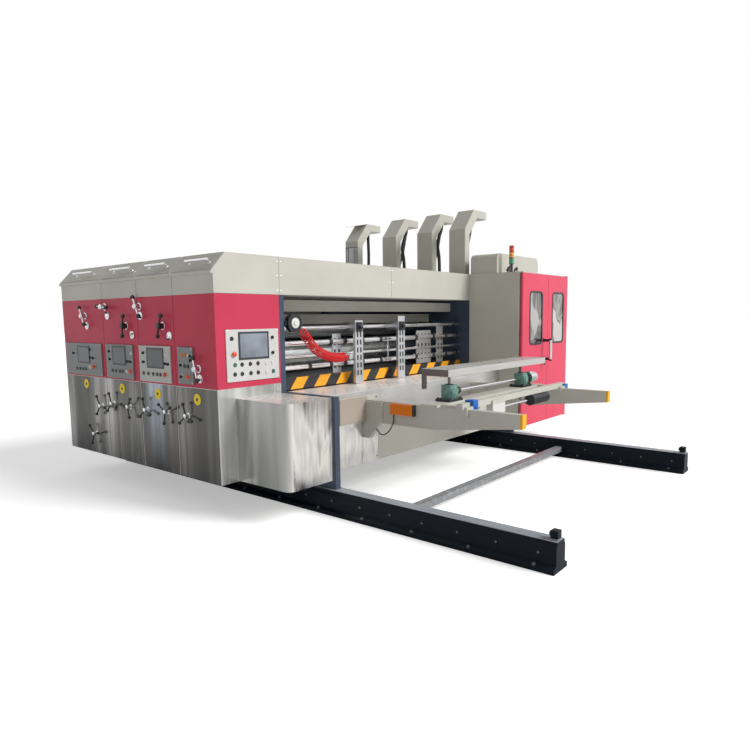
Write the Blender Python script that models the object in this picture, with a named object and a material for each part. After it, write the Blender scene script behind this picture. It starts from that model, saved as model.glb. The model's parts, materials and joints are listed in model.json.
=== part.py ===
"""Four-unit flexo printer slotter die cutter for corrugated board.

Lengths are metres, +Z is up, -Y is the feed end and -X is the operator side.
Everything is modelled from the operator side's outer face (X), the front of the
feeder's pillar (Y) and the floor (Z), and hangs on one empty that brings the
machine's middle to the world origin.
"""
import math

import bmesh
import bpy
from mathutils import Matrix, Vector

# Clearances
SEAT = 0.0003
RUN_GAP = 0.006
PIN_GAP = 0.001
# How deep a joined shape reaches into its neighbour, and a cutter past the face it cuts
JOIN = 0.01

# Widths across the machine
HOUSING_WIDTH = 0.645
PLATE = 0.055
MOUTH_WIDTH = 3.0
CABINET_WIDTH = 1.31
DRIVE_HOUSING_WIDTH = 0.80

# The four units from the feed end to the delivery end
UNIT_LENGTHS = (0.57, 0.57, 0.63, 0.84)
UNIT_NAMES = ("feeder", "printer_1", "printer_2", "die_cutter")

# Heights
RAIL_HEIGHT = 0.198
COVER_BOTTOM = 0.27
COVER_TOP = 1.035
COVER_CORNER = 0.012
HOUSING_TOP = 1.784
HOOD_LIP_RISE = 0.151
HOOD_LIP_THICK = 0.018
HOOD_HEIGHT = 0.316
LIP_REACH = 0.02
ROOF_SLOPE = 0.113
LIP_BOTTOM = HOUSING_TOP + HOOD_LIP_RISE
LIP_TOP = LIP_BOTTOM + HOOD_LIP_THICK
ROOF = HOUSING_TOP + HOOD_HEIGHT

# Grab handles on the hoods' slopes, one a unit: front and back posts behind the unit's front
GRAB_POSTS = ((0.091, 0.366), (0.112, 0.40), (0.111, 0.441), (0.195, 0.56))
GRAB_UP_SLOPE = 0.45
GRAB_HEIGHT = 0.04
GRAB_RADIUS = 0.010
GRAB_POST_RADIUS = 0.009

# Rails
RAIL_WIDTH = 0.20
RAIL_TOP_WIDTH = 0.11
RAIL_FOOT = 0.03
RAIL_FRONT = 2.54
RAIL_WEB = 0.13
RAIL_FOOT_SLOPE = 0.02
RAIL_NECK_SLOPE = 0.012
RAIL_HEAD = 0.023
STOP_LENGTH = 0.05
STOP_HEIGHT = 0.06
STOP_FROM_END = 0.01
CROSSBAR_FROM_FRONT = 1.218
CROSSBAR_Z = 0.045
CROSSBAR_SIZE = 0.07
CROSSBAR_THICK = 0.012

# Frame ties and cylinders
TIE_DEPTH = 0.06
FEEDER_TIE_Y = 0.281
FEEDER_TIE_Z = (1.649, 1.755)
TIE_Y = 0.041
TIE_Z = (1.525, 1.624)
LOW_TIE_Y = 0.24
LOW_TIE_Z = (0.42, 0.56)
LOW_TIE_DEPTH = 0.10
CYLINDER_RADIUS = 0.16
CYLINDER_Z = 1.20
JOURNAL_RADIUS = 0.05
JOURNAL_LENGTH = 0.06
CYLINDER_EDGE = 0.01

# Feeder frame, table and front
NOSE_REACH = 0.63
FOOT_REACH = 0.60
NOSE_TOP = 0.955
GUARD_X = 0.17
GUARD_REACH = 0.61
GUARD_Z = (0.275, 0.95)
GUARD_CORNER = 0.06
APRON_Y = 0.41
TABLE_TOP = 0.93
TABLE_THICK = 0.03
TABLE_BACK = 0.15
HAZARD_Z = (0.945, 1.05)
HAZARD_THICK = 0.012
APRON_THICK = 0.02

# Shafts in the feeder's mouth
SHAFT_Y = 0.155
SHAFT_HEIGHTS = (1.495, 1.357, 1.237, 1.14)
SHAFT_RADII = (0.021, 0.027, 0.015, 0.025)
# Each plate: place from the operator plate, or back from the drive plate, then width, bottom and top
RACK_PLATES = ((0.74, 0.12, 1.05, 1.43), (-0.89, 0.28, 1.056, 1.43), (-0.485, 0.125, 1.04, 1.50))
RACK_PLATE_THICK = 0.012
AIR_PORT_OFFSET = 0.80
AIR_PORT_Z = 1.215
AIR_PORT_RADIUS = 0.03

# Front guides: left edges, from the operator plate and from the drive plate
GUIDE_OFFSETS = (0.922, 1.399)
GUIDE_WIDTH = 0.113
GUIDE_TOPS = (1.56, 1.60)
GUIDE_Y = 0.02
GUIDE_THICK = 0.028
GUIDE_WALL = 0.006
GRIP_WIDTH = 0.06
GRIP_INSET = 0.003
GUIDE_CLAMP = 0.09
FEED_GAP = 0.010

# Beams that carry the back stop: left edges, from the operator plate and from the drive plate
BEAM_OFFSETS = (0.578, 0.627)
BEAM_WIDTH = 0.065
BEAM_TOP = 0.85
BEAM_END = 1.96
BEAM_END_DEPTH = 0.108
BEAM_BELLY_Y = 1.167
BEAM_DEPTH = 0.196
GUSSET_REACH = 0.20
GUSSET_BOTTOM = 0.507
GUSSET_FOOT = 0.05
GUSSET_DROP = 0.01
GUSSET_TIP_RISE = 0.03
GUSSET_THICK = 0.02

# Sensor on the operator beam and its cable
SENSOR_Y = (0.97, 0.71)
SENSOR_Z = (0.75, 0.844)
SENSOR_THICK = 0.03
SENSOR_CORNER = 0.008
SENSOR_CABLE_RADIUS = 0.005
SENSOR_CABLE_INSET = 0.013
SENSOR_CABLE_Z = 0.60
SENSOR_CABLE_FROM_END = 0.028

# Back stop carriage
CARRIAGE_FRONT_Y = 1.44
CARRIAGE_REAR_Y = 1.14
CARRIAGE_BAR = 0.02
CARRIAGE_REAR_WIDTH = 0.16
CARRIAGE_FRONT_WIDTH = 0.05
CARRIAGE_FRONT_HEIGHT = 0.05
CARRIAGE_OVERHANG = 0.05
CARRIAGE_RUNNER = 0.05
CLAMP_LENGTH = 0.10
CLAMP_DROP = 0.06
CLAMP_WALL = 0.018
JACK_OFFSETS = (0.83, 0.85)
JACK_SIZE = 0.11
JACK_BASE = (0.20, 0.15, 0.022)
JACK_BOSS_RADIUS = 0.04
JACK_SHAFT_Z = 0.055
JACK_HEIGHT = 0.115
JACK_CORNER = 0.02
JACK_BOSS_REACH = 0.02
CROSS_SHAFT_RADIUS = 0.014
COUPLING_RADIUS = 0.03
COUPLING_LENGTH = 0.09
MOTOR_RADIUS = 0.055
MOTOR_LENGTH = 0.16
MOTOR_FLANGE_RADIUS = 0.061
MOTOR_FLANGE = 0.015
MOTOR_CAP_RADIUS = 0.048
MOTOR_CAP = 0.03
SCREW_RADIUS = 0.013
BAR_OFFSETS = (0.80, 0.30)
BAR_Y = (1.15, 0.87)
BAR_Z = (1.075, 1.135)
SCREW_BELOW = 0.12
BAR_LEG_DROP = 0.12
BAR_LEG_WIDTH = 0.05
BAR_LEG_THICK = 0.02

# Gear cover, rod and motor that drive the carriage, under its cross member
GEAR_COVER_X = (0.98, 1.20)
GEAR_COVER_Z = (0.75, 0.88)
GEAR_COVER_DEPTH = 0.06
GEAR_COVER_CORNER = 0.015
DRIVE_ROD_RADIUS = 0.012
DRIVE_AXIS_Z = 0.80
DRIVE_AXIS_AHEAD = 0.01
DRIVE_MOTOR_X = (1.73, 2.07)
DRIVE_MOTOR_RADIUS = 0.053

# Cabinet on the drive side
CABINET_FRONT = 0.673
CABINET_BOTTOM = 0.26
CABINET_WALL = 0.05
CABINET_DEPTH_INSIDE = 0.46
DOOR_THICK = 0.035
DOOR_SEAM = 0.70
DOOR_MARGIN = 0.012
HINGE_LUG_WIDTH = 0.05
DOOR_HANDLE_Z = (1.03, 1.31)
DOOR_HANDLE_FROM_SEAM = 0.115
DOOR_HANDLE_REACH = 0.095
DOOR_HANDLE_RADIUS = 0.019
DOOR_HANDLE_POST = 0.028
DOOR_HANDLE_POST_INSET = 0.012
WINDOW_Z = (1.25, 1.87)
WINDOW_WIDTH = 0.33
WINDOW_LEFTS = (0.205, 0.83)
WINDOW_POCKET = 0.012
WINDOW_CORNER = 0.05
TOP_BOX_X = (0.02, 1.12)
TOP_BOX_Y = (-0.366, -0.004)
TOP_BOX_HEIGHT = 0.235
TOP_BOX_CORNER = 0.07
LIGHT_X = 0.15
LIGHT_Y = -0.49
LIGHT_RADIUS = 0.028
LIGHT_HEIGHT = 0.32
LIGHT_FOOT_RADIUS = 0.0364
LIGHT_FOOT = 0.012
LIGHT_STEM_RADIUS = 0.014
LIGHT_STEM = 0.10
LIGHT_CAP_RADIUS = 0.0168
LIGHT_CAP = 0.012

# Elbow ducts on the roof, one a unit
DUCT_DEPTH = 0.24
DUCT_OFFSETS = (0.10, 0.03, 0.05, 0.11)
DUCT_WIDTH = 0.107
DUCT_BEND_Z = 2.665
DUCT_TOP = 2.92
DUCT_LEAN = 0.21
DUCT_NOSE = 0.51
DUCT_NOSE_DEPTH = 0.10
DUCT_INNER = 0.29
DUCT_INNER_BEND_Z = 2.60
DUCT_EDGE = 0.006
DUCT_HOSE_RADIUS = 0.022

# Air hose and its reel
REEL_RADIUS = 0.082
REEL_OFFSET = 0.10
REEL_Z = 1.545
REEL_THICK = 0.05
REEL_Y = -0.03
REEL_RIM = 0.008
REEL_DRUM_RADIUS = 0.0656
REEL_BRACKET_THICK = 0.02
REEL_BRACKET_HEIGHT = 0.04
AIR_HOSE_RADIUS = 0.045

# Hand levers: unit, distance behind the unit's front, height, tilt of the handle
LEVERS = (
    ("die_cutter", 0.348, 1.629, 65.0),
    ("printer_2", 0.574, 1.709, 5.0),
    ("printer_2", 0.198, 1.532, 100.0),
    ("printer_1", 0.524, 1.702, 63.0),
    ("printer_1", 0.163, 1.532, 110.0),
    ("feeder", 0.238, 1.19, 75.0),
)
LEVER_HUB_RADIUS = 0.026
LEVER_HUB_LENGTH = 0.058
LEVER_HUB_CHAMFER = 0.008
LEVER_ARM = 0.11
LEVER_ROD_RADIUS = 0.008
LEVER_BALL_RADIUS = 0.019

# Operator panels: unit, distances behind the unit's front, bottom and top
PANELS = (
    ("die_cutter", 0.05, 0.79, 1.05, 1.36),
    ("printer_2", 0.10, 0.585, 1.05, 1.36),
    ("printer_1", 0.06, 0.554, 1.05, 1.36),
    ("feeder", 0.305, 0.515, 1.06, 1.36),
)
PANEL_THICK = 0.012
HMI_WIDTH = 0.529
HMI_MARGIN = 0.027
HMI_Z = (1.087, 1.50)
HMI_THICK = 0.008

# Places that follow from the sizes above
PLATE_X = HOUSING_WIDTH
INNER_LEFT = PLATE_X + PLATE
INNER_RIGHT = INNER_LEFT + MOUTH_WIDTH
DRIVE_X = INNER_RIGHT + PLATE
CABINET_RIGHT = INNER_RIGHT + CABINET_WIDTH
HMI_X = (PLATE_X - HMI_MARGIN - HMI_WIDTH, PLATE_X - HMI_MARGIN)
GUIDE_LEFTS = (INNER_LEFT + GUIDE_OFFSETS[0], INNER_RIGHT - GUIDE_OFFSETS[1])
BEAM_LEFTS = (INNER_LEFT + BEAM_OFFSETS[0], INNER_RIGHT - BEAM_OFFSETS[1])
JACK_XS = (INNER_LEFT + JACK_OFFSETS[0], INNER_RIGHT - JACK_OFFSETS[1])
BAR_X = (INNER_LEFT + BAR_OFFSETS[0], INNER_RIGHT - BAR_OFFSETS[1])
REEL_X = INNER_LEFT + REEL_OFFSET
AIR_PORT_X = INNER_LEFT + AIR_PORT_OFFSET
UNIT_STARTS = tuple(sum(UNIT_LENGTHS[:i]) for i in range(len(UNIT_LENGTHS)))
REAR = sum(UNIT_LENGTHS)
FRAME_BOTTOM = RAIL_HEIGHT + SEAT
LEVER_REACH = LEVER_HUB_LENGTH + SEAT
MIDDLE = Vector(((CABINET_RIGHT - LEVER_REACH) / 2.0, (REAR - RAIL_FRONT) / 2.0, 0.0))

COLOURS = {
    "panel_beige": ((0.60, 0.58, 0.52), 0.45, 0.0),
    "signal_red": ((0.62, 0.03, 0.08), 0.35, 0.0),
    "brushed_steel": ((0.62, 0.62, 0.64), 0.28, 1.0),
    "frame_navy": ((0.045, 0.065, 0.10), 0.45, 0.1),
    "rail_black": ((0.012, 0.018, 0.03), 0.45, 0.2),
    "chrome": ((0.75, 0.75, 0.76), 0.12, 1.0),
    "aluminium": ((0.66, 0.67, 0.68), 0.35, 1.0),
    "gearbox_green": ((0.05, 0.20, 0.17), 0.40, 0.1),
    "hose_red": ((0.75, 0.02, 0.02), 0.40, 0.0),
    "hose_black": ((0.015, 0.015, 0.017), 0.55, 0.0),
    "lamp_red": ((0.80, 0.05, 0.03), 0.25, 0.0),
    "hazard_yellow": ((0.90, 0.42, 0.02), 0.40, 0.0),
    "knob_black": ((0.02, 0.02, 0.022), 0.35, 0.0),
    "cross_steel": ((0.30, 0.31, 0.33), 0.50, 0.6),
}


def clear_scene():
    """Remove what the scene holds."""
    for item in list(bpy.data.objects):
        bpy.data.objects.remove(item, do_unlink=True)


def material(name):
    """Return the named paint or metal, made once."""
    found = bpy.data.materials.get(name)
    if found:
        return found
    colour, roughness, metallic = COLOURS[name]
    made = bpy.data.materials.new(name)
    made.use_nodes = True
    shader = made.node_tree.nodes["Principled BSDF"]
    shader.inputs["Base Color"].default_value = (*colour, 1.0)
    shader.inputs["Roughness"].default_value = roughness
    shader.inputs["Metallic"].default_value = metallic
    return made


def empty(name, at, parent=None):
    """Make a carrier at a place given in machine lengths."""
    carrier = bpy.data.objects.new(name, None)
    bpy.context.scene.collection.objects.link(carrier)
    carrier.parent = parent
    carrier.location = Vector(at) - (carried_place(parent) if parent else Vector())
    return carrier


def carried_place(carrier):
    """Return a carrier's place in machine lengths."""
    place = Vector()
    while carrier.parent:
        place += carrier.location
        carrier = carrier.parent
    return place


def mesh_object(name, shape, paint, parent, origin=None, smooth=False):
    """Turn a bmesh in machine lengths into a named object with its origin at a chosen place."""
    place = Vector(origin) if origin else carried_place(parent)
    bmesh.ops.translate(shape, verts=shape.verts, vec=-place)
    bmesh.ops.recalc_face_normals(shape, faces=shape.faces)
    data = bpy.data.meshes.new(name)
    shape.to_mesh(data)
    shape.free()
    data.materials.append(material(paint))
    if smooth:
        data.shade_smooth()
        data.set_sharp_from_angle(angle=math.radians(35.0))
    made = bpy.data.objects.new(name, data)
    bpy.context.scene.collection.objects.link(made)
    made.parent = parent
    made.location = place - carried_place(parent)
    return made


def prism(outline, axis, low, high):
    """Extrude an outline along X, Y or Z. The outline holds the other two coordinates in order."""
    shape = bmesh.new()
    ends = []
    for level in (low, high):
        ring = []
        for a, b in outline:
            point = [a, b]
            point.insert("XYZ".index(axis), level)
            ring.append(shape.verts.new(point))
        ends.append(ring)
    shape.faces.new(ends[0])
    shape.faces.new(ends[1])
    count = len(outline)
    for i in range(count):
        j = (i + 1) % count
        shape.faces.new((ends[0][i], ends[0][j], ends[1][j], ends[1][i]))
    bmesh.ops.recalc_face_normals(shape, faces=shape.faces)
    return shape


def block(x, y, z):
    """Return a rectangular block from its limits."""
    return prism(((x[0], y[0]), (x[1], y[0]), (x[1], y[1]), (x[0], y[1])), "Z", z[0], z[1])


def rounded(low, high, radius, corners=(True, True, True, True), steps=4):
    """Return a rectangle's outline with round corners, from the low corner anticlockwise."""
    centres = (
        (low[0] + radius, low[1] + radius, 180.0),
        (high[0] - radius, low[1] + radius, 270.0),
        (high[0] - radius, high[1] - radius, 0.0),
        (low[0] + radius, high[1] - radius, 90.0),
    )
    sharp = ((low[0], low[1]), (high[0], low[1]), (high[0], high[1]), (low[0], high[1]))
    outline = []
    for is_round, centre, corner in zip(corners, centres, sharp):
        if not is_round:
            outline.append(corner)
            continue
        for step in range(steps + 1):
            angle = math.radians(centre[2] + 90.0 * step / steps)
            outline.append((centre[0] + radius * math.cos(angle), centre[1] + radius * math.sin(angle)))
    return outline


def turned(profile, start, direction, sides=24):
    """Revolve (distance along, radius) pairs about an axis through start."""
    turn = Vector(direction).to_track_quat("Z", "Y").to_matrix().to_4x4()
    place = Matrix.Translation(Vector(start)) @ turn
    shape = bmesh.new()
    rings = []
    for along, radius in profile:
        if radius == 0.0:
            rings.append([shape.verts.new(place @ Vector((0.0, 0.0, along)))])
            continue
        ring = []
        for side in range(sides):
            angle = 2.0 * math.pi * side / sides
            point = Vector((radius * math.cos(angle), radius * math.sin(angle), along))
            ring.append(shape.verts.new(place @ point))
        rings.append(ring)
    for lower, upper in zip(rings, rings[1:]):
        join_rings(shape, lower, upper)
    for ring in (rings[0], rings[-1]):
        if len(ring) > 1:
            shape.faces.new(ring)
    bmesh.ops.recalc_face_normals(shape, faces=shape.faces)
    return shape


def join_rings(shape, lower, upper):
    """Skin two neighbouring rings, either of which may be a single point."""
    count = max(len(lower), len(upper))
    for i in range(count):
        j = (i + 1) % count
        if len(lower) == 1:
            shape.faces.new((lower[0], upper[i], upper[j]))
        elif len(upper) == 1:
            shape.faces.new((lower[i], lower[j], upper[0]))
        else:
            shape.faces.new((lower[i], lower[j], upper[j], upper[i]))


def cylinder(start, direction, length, radius, sides=24):
    """Return a plain round bar."""
    return turned(((0.0, radius), (length, radius)), start, direction, sides)


def ball_profile(centre, radius, steps=6):
    """Return profile points of a ball about a place along the axis."""
    return [
        (centre - radius * math.cos(math.pi * i / steps), radius * math.sin(math.pi * i / steps))
        for i in range(steps + 1)
    ]


def combine(target, operation, shapes):
    """Join or cut the target with other shapes, each kept as a wire guide."""
    for number, shape in enumerate(shapes):
        name = f"{target.name}_{operation.lower()}_{number}"
        helper = mesh_object(name, shape, "cross_steel", target.parent)
        helper.hide_render = True
        helper.display_type = "WIRE"
        step = target.modifiers.new(f"{operation.lower()}_{number}", "BOOLEAN")
        step.operation = operation
        step.object = helper
    return target


def bevel(target, width, segments=1, angle=40.0):
    """Break the target's sharp edges."""
    step = target.modifiers.new("edge", "BEVEL")
    step.width = width
    step.segments = segments
    step.limit_method = "ANGLE"
    step.angle_limit = math.radians(angle)
    return target


def unit_span(number):
    """Return the front and back of a unit's housings, with half the running gap at each joint."""
    front = UNIT_STARTS[number] + (RUN_GAP / 2.0 if number else 0.0)
    back = UNIT_STARTS[number] + UNIT_LENGTHS[number]
    if number < len(UNIT_LENGTHS) - 1:
        back -= RUN_GAP / 2.0
    return front, back


# Rails

def rail_profile(left):
    """Return a rail's section: broad foot, waisted web and machined head."""
    centre = left + RAIL_WIDTH / 2.0
    half = RAIL_WIDTH / 2.0
    web = RAIL_WEB / 2.0
    head = RAIL_TOP_WIDTH / 2.0
    shoulder = RAIL_HEIGHT - RAIL_HEAD
    neck = shoulder - RAIL_NECK_SLOPE
    foot = RAIL_FOOT + RAIL_FOOT_SLOPE
    return (
        (centre - half, 0.0), (centre + half, 0.0), (centre + half, RAIL_FOOT),
        (centre + web, foot), (centre + web, neck), (centre + head, shoulder),
        (centre + head, RAIL_HEIGHT), (centre - head, RAIL_HEIGHT), (centre - head, shoulder),
        (centre - web, neck), (centre - web, foot), (centre - half, RAIL_FOOT),
    )


def rail_left(plate_x):
    """Return a rail's left side, centred under the frame plate that rides on it."""
    return plate_x + PLATE / 2.0 - RAIL_WIDTH / 2.0


def build_rails(machine):
    """Two rails on the floor, their front stops and the bar between them."""
    stop_front = STOP_FROM_END - RAIL_FRONT
    for name, plate_x in (("operator_rail", PLATE_X), ("drive_rail", INNER_RIGHT)):
        left = rail_left(plate_x)
        centre = left + RAIL_WIDTH / 2.0
        rail = mesh_object(name, prism(rail_profile(left), "Y", -RAIL_FRONT, REAR), "rail_black", machine)
        stop = block(
            (centre - RAIL_TOP_WIDTH / 4.0, centre + RAIL_TOP_WIDTH / 4.0),
            (stop_front, stop_front + STOP_LENGTH), (RAIL_HEIGHT - JOIN, RAIL_HEIGHT + STOP_HEIGHT),
        )
        combine(rail, "UNION", [stop])
    low = rail_left(PLATE_X) + (RAIL_WIDTH + RAIL_WEB) / 2.0 + SEAT
    high = rail_left(INNER_RIGHT) + (RAIL_WIDTH - RAIL_WEB) / 2.0 - SEAT
    middle = -CROSSBAR_FROM_FRONT
    half = CROSSBAR_SIZE / 2.0
    bottom = CROSSBAR_Z + CROSSBAR_THICK
    top = CROSSBAR_Z + CROSSBAR_SIZE
    angle_iron = (
        (middle - half, bottom), (middle - half, top), (middle + half, top),
        (middle + half, top - CROSSBAR_THICK), (middle - half + CROSSBAR_THICK, top - CROSSBAR_THICK),
        (middle - half + CROSSBAR_THICK, bottom),
    )
    mesh_object("rail_crossbar", prism(angle_iron, "X", low, high), "cross_steel", machine)


# Unit frames, housings and hoods

def frame_outline(number):
    """Return a frame plate's outline seen from the side; the feeder's plate has a low nose."""
    front, back = unit_span(number)
    top = HOUSING_TOP - SEAT
    if number:
        return ((front, FRAME_BOTTOM), (back, FRAME_BOTTOM), (back, top), (front, top))
    return (
        (-NOSE_REACH, FRAME_BOTTOM), (back, FRAME_BOTTOM), (back, top), (front, top),
        (front, NOSE_TOP), (-NOSE_REACH, NOSE_TOP),
    )


def drive_outline(number):
    """Return the drive plate's outline; the feeder's has a low foot under the cabinet."""
    front, back = unit_span(number)
    top = HOUSING_TOP - SEAT
    if number:
        return ((front, FRAME_BOTTOM), (back, FRAME_BOTTOM), (back, top), (front, top))
    foot_top = CABINET_BOTTOM - SEAT
    return (
        (-FOOT_REACH, FRAME_BOTTOM), (back, FRAME_BOTTOM), (back, top), (front, top),
        (front, foot_top), (-FOOT_REACH, foot_top),
    )


def build_frame(number, parent):
    """Two side plates joined by an upper tie beam and a lower one."""
    front, _ = unit_span(number)
    name = UNIT_NAMES[number]
    frame = mesh_object(
        f"{name}_frame", prism(frame_outline(number), "X", PLATE_X, INNER_LEFT), "frame_navy", parent)
    tie_front = FEEDER_TIE_Y if number == 0 else front + TIE_Y
    tie_z = FEEDER_TIE_Z if number == 0 else TIE_Z
    reach = PLATE / 2.0
    inside = (INNER_LEFT - reach, INNER_RIGHT + reach)
    combine(frame, "UNION", [
        prism(drive_outline(number), "X", INNER_RIGHT, DRIVE_X),
        block(inside, (tie_front, tie_front + TIE_DEPTH), tie_z),
        block(inside, (front + LOW_TIE_Y, front + LOW_TIE_Y + LOW_TIE_DEPTH), LOW_TIE_Z),
    ])
    return frame


def build_unit_covers(number, parent):
    """Red housing above, steel cover below and the hood over the whole unit."""
    name = UNIT_NAMES[number]
    front, back = unit_span(number)
    right = PLATE_X - SEAT
    housing = mesh_object(
        f"{name}_operator_housing",
        block((0.0, right), (front, back), (COVER_TOP + SEAT, HOUSING_TOP - SEAT)), "signal_red", parent)
    for unit, near, far, low, high in PANELS:
        if unit == name:
            start = UNIT_STARTS[number]
            combine(housing, "UNION", [block((-PANEL_THICK, JOIN), (start + near, start + far), (low, high))])
    if number == 0:
        combine(housing, "UNION", [block(HMI_X, (-HMI_THICK, JOIN), HMI_Z)])
    mesh_object(
        f"{name}_lower_cover",
        prism(rounded((0.0, front), (right, back), COVER_CORNER, (number == 0, False, False, False), 2), "Z",
              COVER_BOTTOM, COVER_TOP),
        "brushed_steel", parent)
    outline = (
        (0.0, HOUSING_TOP), (DRIVE_X, HOUSING_TOP), (DRIVE_X, ROOF), (ROOF_SLOPE, ROOF),
        (-LIP_REACH, LIP_TOP), (-LIP_REACH, LIP_BOTTOM), (0.0, LIP_BOTTOM),
    )
    hood = mesh_object(f"{name}_hood", prism(outline, "Y", front, back), "panel_beige", parent)
    combine(hood, "UNION", grab_shapes(number))


def grab_shapes(number):
    """Return the posts and the bar of the grab handle on a unit's hood slope."""
    slope = Vector((ROOF_SLOPE + LIP_REACH, 0.0, ROOF - LIP_TOP))
    out = Vector((-slope.z, 0.0, slope.x)).normalized()
    foot = Vector((-LIP_REACH, UNIT_STARTS[number], LIP_TOP)) + slope * GRAB_UP_SLOPE
    near, far = GRAB_POSTS[number]
    along = Vector((0.0, 1.0, 0.0))
    shapes = [
        cylinder(foot + along * place - out * JOIN, out, JOIN + GRAB_HEIGHT, GRAB_POST_RADIUS, 10)
        for place in (near, far)
    ]
    end = foot + along * (near - GRAB_RADIUS) + out * GRAB_HEIGHT
    shapes.append(cylinder(end, along, far - near + 2.0 * GRAB_RADIUS, GRAB_RADIUS, 10))
    return shapes


def build_drive_housing(number, parent):
    """Closed gear housing outside the drive plate, with a sloped top edge."""
    front, back = unit_span(number)
    left = DRIVE_X + SEAT
    right = DRIVE_X + DRIVE_HOUSING_WIDTH
    outline = (
        (left, COVER_BOTTOM), (right, COVER_BOTTOM), (right, LIP_TOP), (right - ROOF_SLOPE, ROOF),
        (left, ROOF),
    )
    name = f"{UNIT_NAMES[number]}_drive_housing"
    mesh_object(name, prism(outline, "Y", front, back), "panel_beige", parent)


def build_cylinder(number, parent):
    """Print or die cylinder with its journals in the frame plates."""
    middle = UNIT_STARTS[number] + UNIT_LENGTHS[number] / 2.0
    shoulder = JOURNAL_LENGTH
    face = MOUTH_WIDTH - 2.0 * shoulder
    edge = CYLINDER_EDGE
    start = INNER_LEFT + SEAT
    profile = (
        (0.0, JOURNAL_RADIUS), (shoulder, JOURNAL_RADIUS), (shoulder, CYLINDER_RADIUS - edge),
        (shoulder + edge, CYLINDER_RADIUS), (shoulder + face - edge, CYLINDER_RADIUS),
        (shoulder + face, CYLINDER_RADIUS - edge), (shoulder + face, JOURNAL_RADIUS),
        (MOUTH_WIDTH - 2.0 * SEAT, JOURNAL_RADIUS),
    )
    mesh_object(
        f"{UNIT_NAMES[number]}_cylinder", turned(profile, (start, middle, CYLINDER_Z), (1.0, 0.0, 0.0), 32),
        "chrome", parent, smooth=True)


def duct_outline():
    """Return a duct's outline: upright column, slanted neck and level nose."""
    left = DRIVE_X
    return (
        (left, ROOF + SEAT), (left + DUCT_WIDTH, ROOF + SEAT), (left + DUCT_WIDTH, DUCT_INNER_BEND_Z),
        (left + DUCT_INNER, DUCT_TOP - DUCT_NOSE_DEPTH), (left + DUCT_NOSE, DUCT_TOP - DUCT_NOSE_DEPTH),
        (left + DUCT_NOSE, DUCT_TOP), (left + DUCT_LEAN, DUCT_TOP), (left, DUCT_BEND_Z),
    )


def build_duct(number, parent):
    """Elbow duct that stands on the unit's drive side."""
    front = UNIT_STARTS[number] + DUCT_OFFSETS[number]
    duct = mesh_object(
        f"{UNIT_NAMES[number]}_duct", prism(duct_outline(), "Y", front, front + DUCT_DEPTH),
        "panel_beige", parent)
    bevel(duct, DUCT_EDGE)


def smooth_route(points, spacing):
    """Return evenly spread points on one smooth curve through the given points."""
    knots = [Vector(p) for p in points]
    padded = [2.0 * knots[0] - knots[1]] + knots + [2.0 * knots[-1] - knots[-2]]
    fine = []
    steps = 24
    for i in range(1, len(padded) - 2):
        a, b, c, d = padded[i - 1:i + 3]
        for step in range(steps):
            t = step / steps
            fine.append(0.5 * ((2.0 * b) + (c - a) * t + (2.0 * a - 5.0 * b + 4.0 * c - d) * t * t
                               + (3.0 * b - a - 3.0 * c + d) * t * t * t))
    fine.append(knots[-1])
    length = sum((q - p).length for p, q in zip(fine, fine[1:]))
    pieces = max(4, round(length / spacing))
    route = [fine[0]]
    travelled = 0.0
    target = length / pieces
    for p, q in zip(fine, fine[1:]):
        step = (q - p).length
        while travelled + step >= target - 1e-9 and len(route) < pieces:
            route.append(p.lerp(q, (target - travelled) / step))
            target += length / pieces
        travelled += step
    route.append(fine[-1])
    return route


def hose(name, points, radius, paint, parent, upright_ends=False):
    """A plain tube along a smooth route, as a curve with round section and filled ends."""
    place = carried_place(parent)
    curve = bpy.data.curves.new(name, "CURVE")
    curve.dimensions = "3D"
    curve.bevel_depth = radius
    curve.bevel_resolution = 2
    curve.use_fill_caps = True
    route = smooth_route(points, 2.0 * 2.0 * radius)
    if upright_ends:
        for end, neighbour in ((route[0], route[1]), (route[-1], route[-2])):
            neighbour.x, neighbour.y = end.x, end.y
    spline = curve.splines.new("POLY")
    spline.points.add(len(route) - 1)
    for point, at in zip(spline.points, route):
        point.co = (*(at - place), 1.0)
    curve.materials.append(material(paint))
    made = bpy.data.objects.new(name, curve)
    bpy.context.scene.collection.objects.link(made)
    made.parent = parent
    return made


def duct_hose_routes(number):
    """Return the routes of one duct's hoses from the nose's underside to the roof."""
    left = DRIVE_X
    middle = UNIT_STARTS[number] + DUCT_OFFSETS[number] + DUCT_DEPTH / 2.0
    under = DUCT_TOP - DUCT_NOSE_DEPTH - SEAT
    base = ROOF + SEAT
    near, far = middle - 0.05, middle + 0.05
    if number == 0:
        return [[(left + 0.33, middle, under), (left + 0.325, middle, under - 0.08),
                 (left + 0.27, middle, 2.56), (left + 0.20, middle, 2.40), (left + 0.18, middle, 2.25),
                 (left + 0.18, middle, base)]]
    if number == 3:
        return [[(left + 0.36, middle, under), (left + 0.365, middle, 2.70), (left + 0.372, middle, 2.50),
                 (left + 0.365, middle, 2.30), (left + 0.36, middle, base)]]
    return [
        [(left + 0.32, near, under), (left + 0.315, near, 2.74), (left + 0.23, near, 2.55),
         (left + 0.26, near, 2.38), (left + 0.27, near, 2.24), (left + 0.27, near, base)],
        [(left + 0.42, far, under), (left + 0.42, far, 2.70), (left + 0.36, far, 2.48),
         (left + 0.28, far, 2.30), (left + 0.22, far, 2.20), (left + 0.21, far, base)],
    ]


def build_duct_hoses(number, parent):
    """One or two black hoses under the duct's nose."""
    for index, points in enumerate(duct_hose_routes(number)):
        name = f"{UNIT_NAMES[number]}_duct_hose_{index + 1}"
        hose(name, points, DUCT_HOSE_RADIUS, "hose_black", parent, True)


# Feeder front

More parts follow.
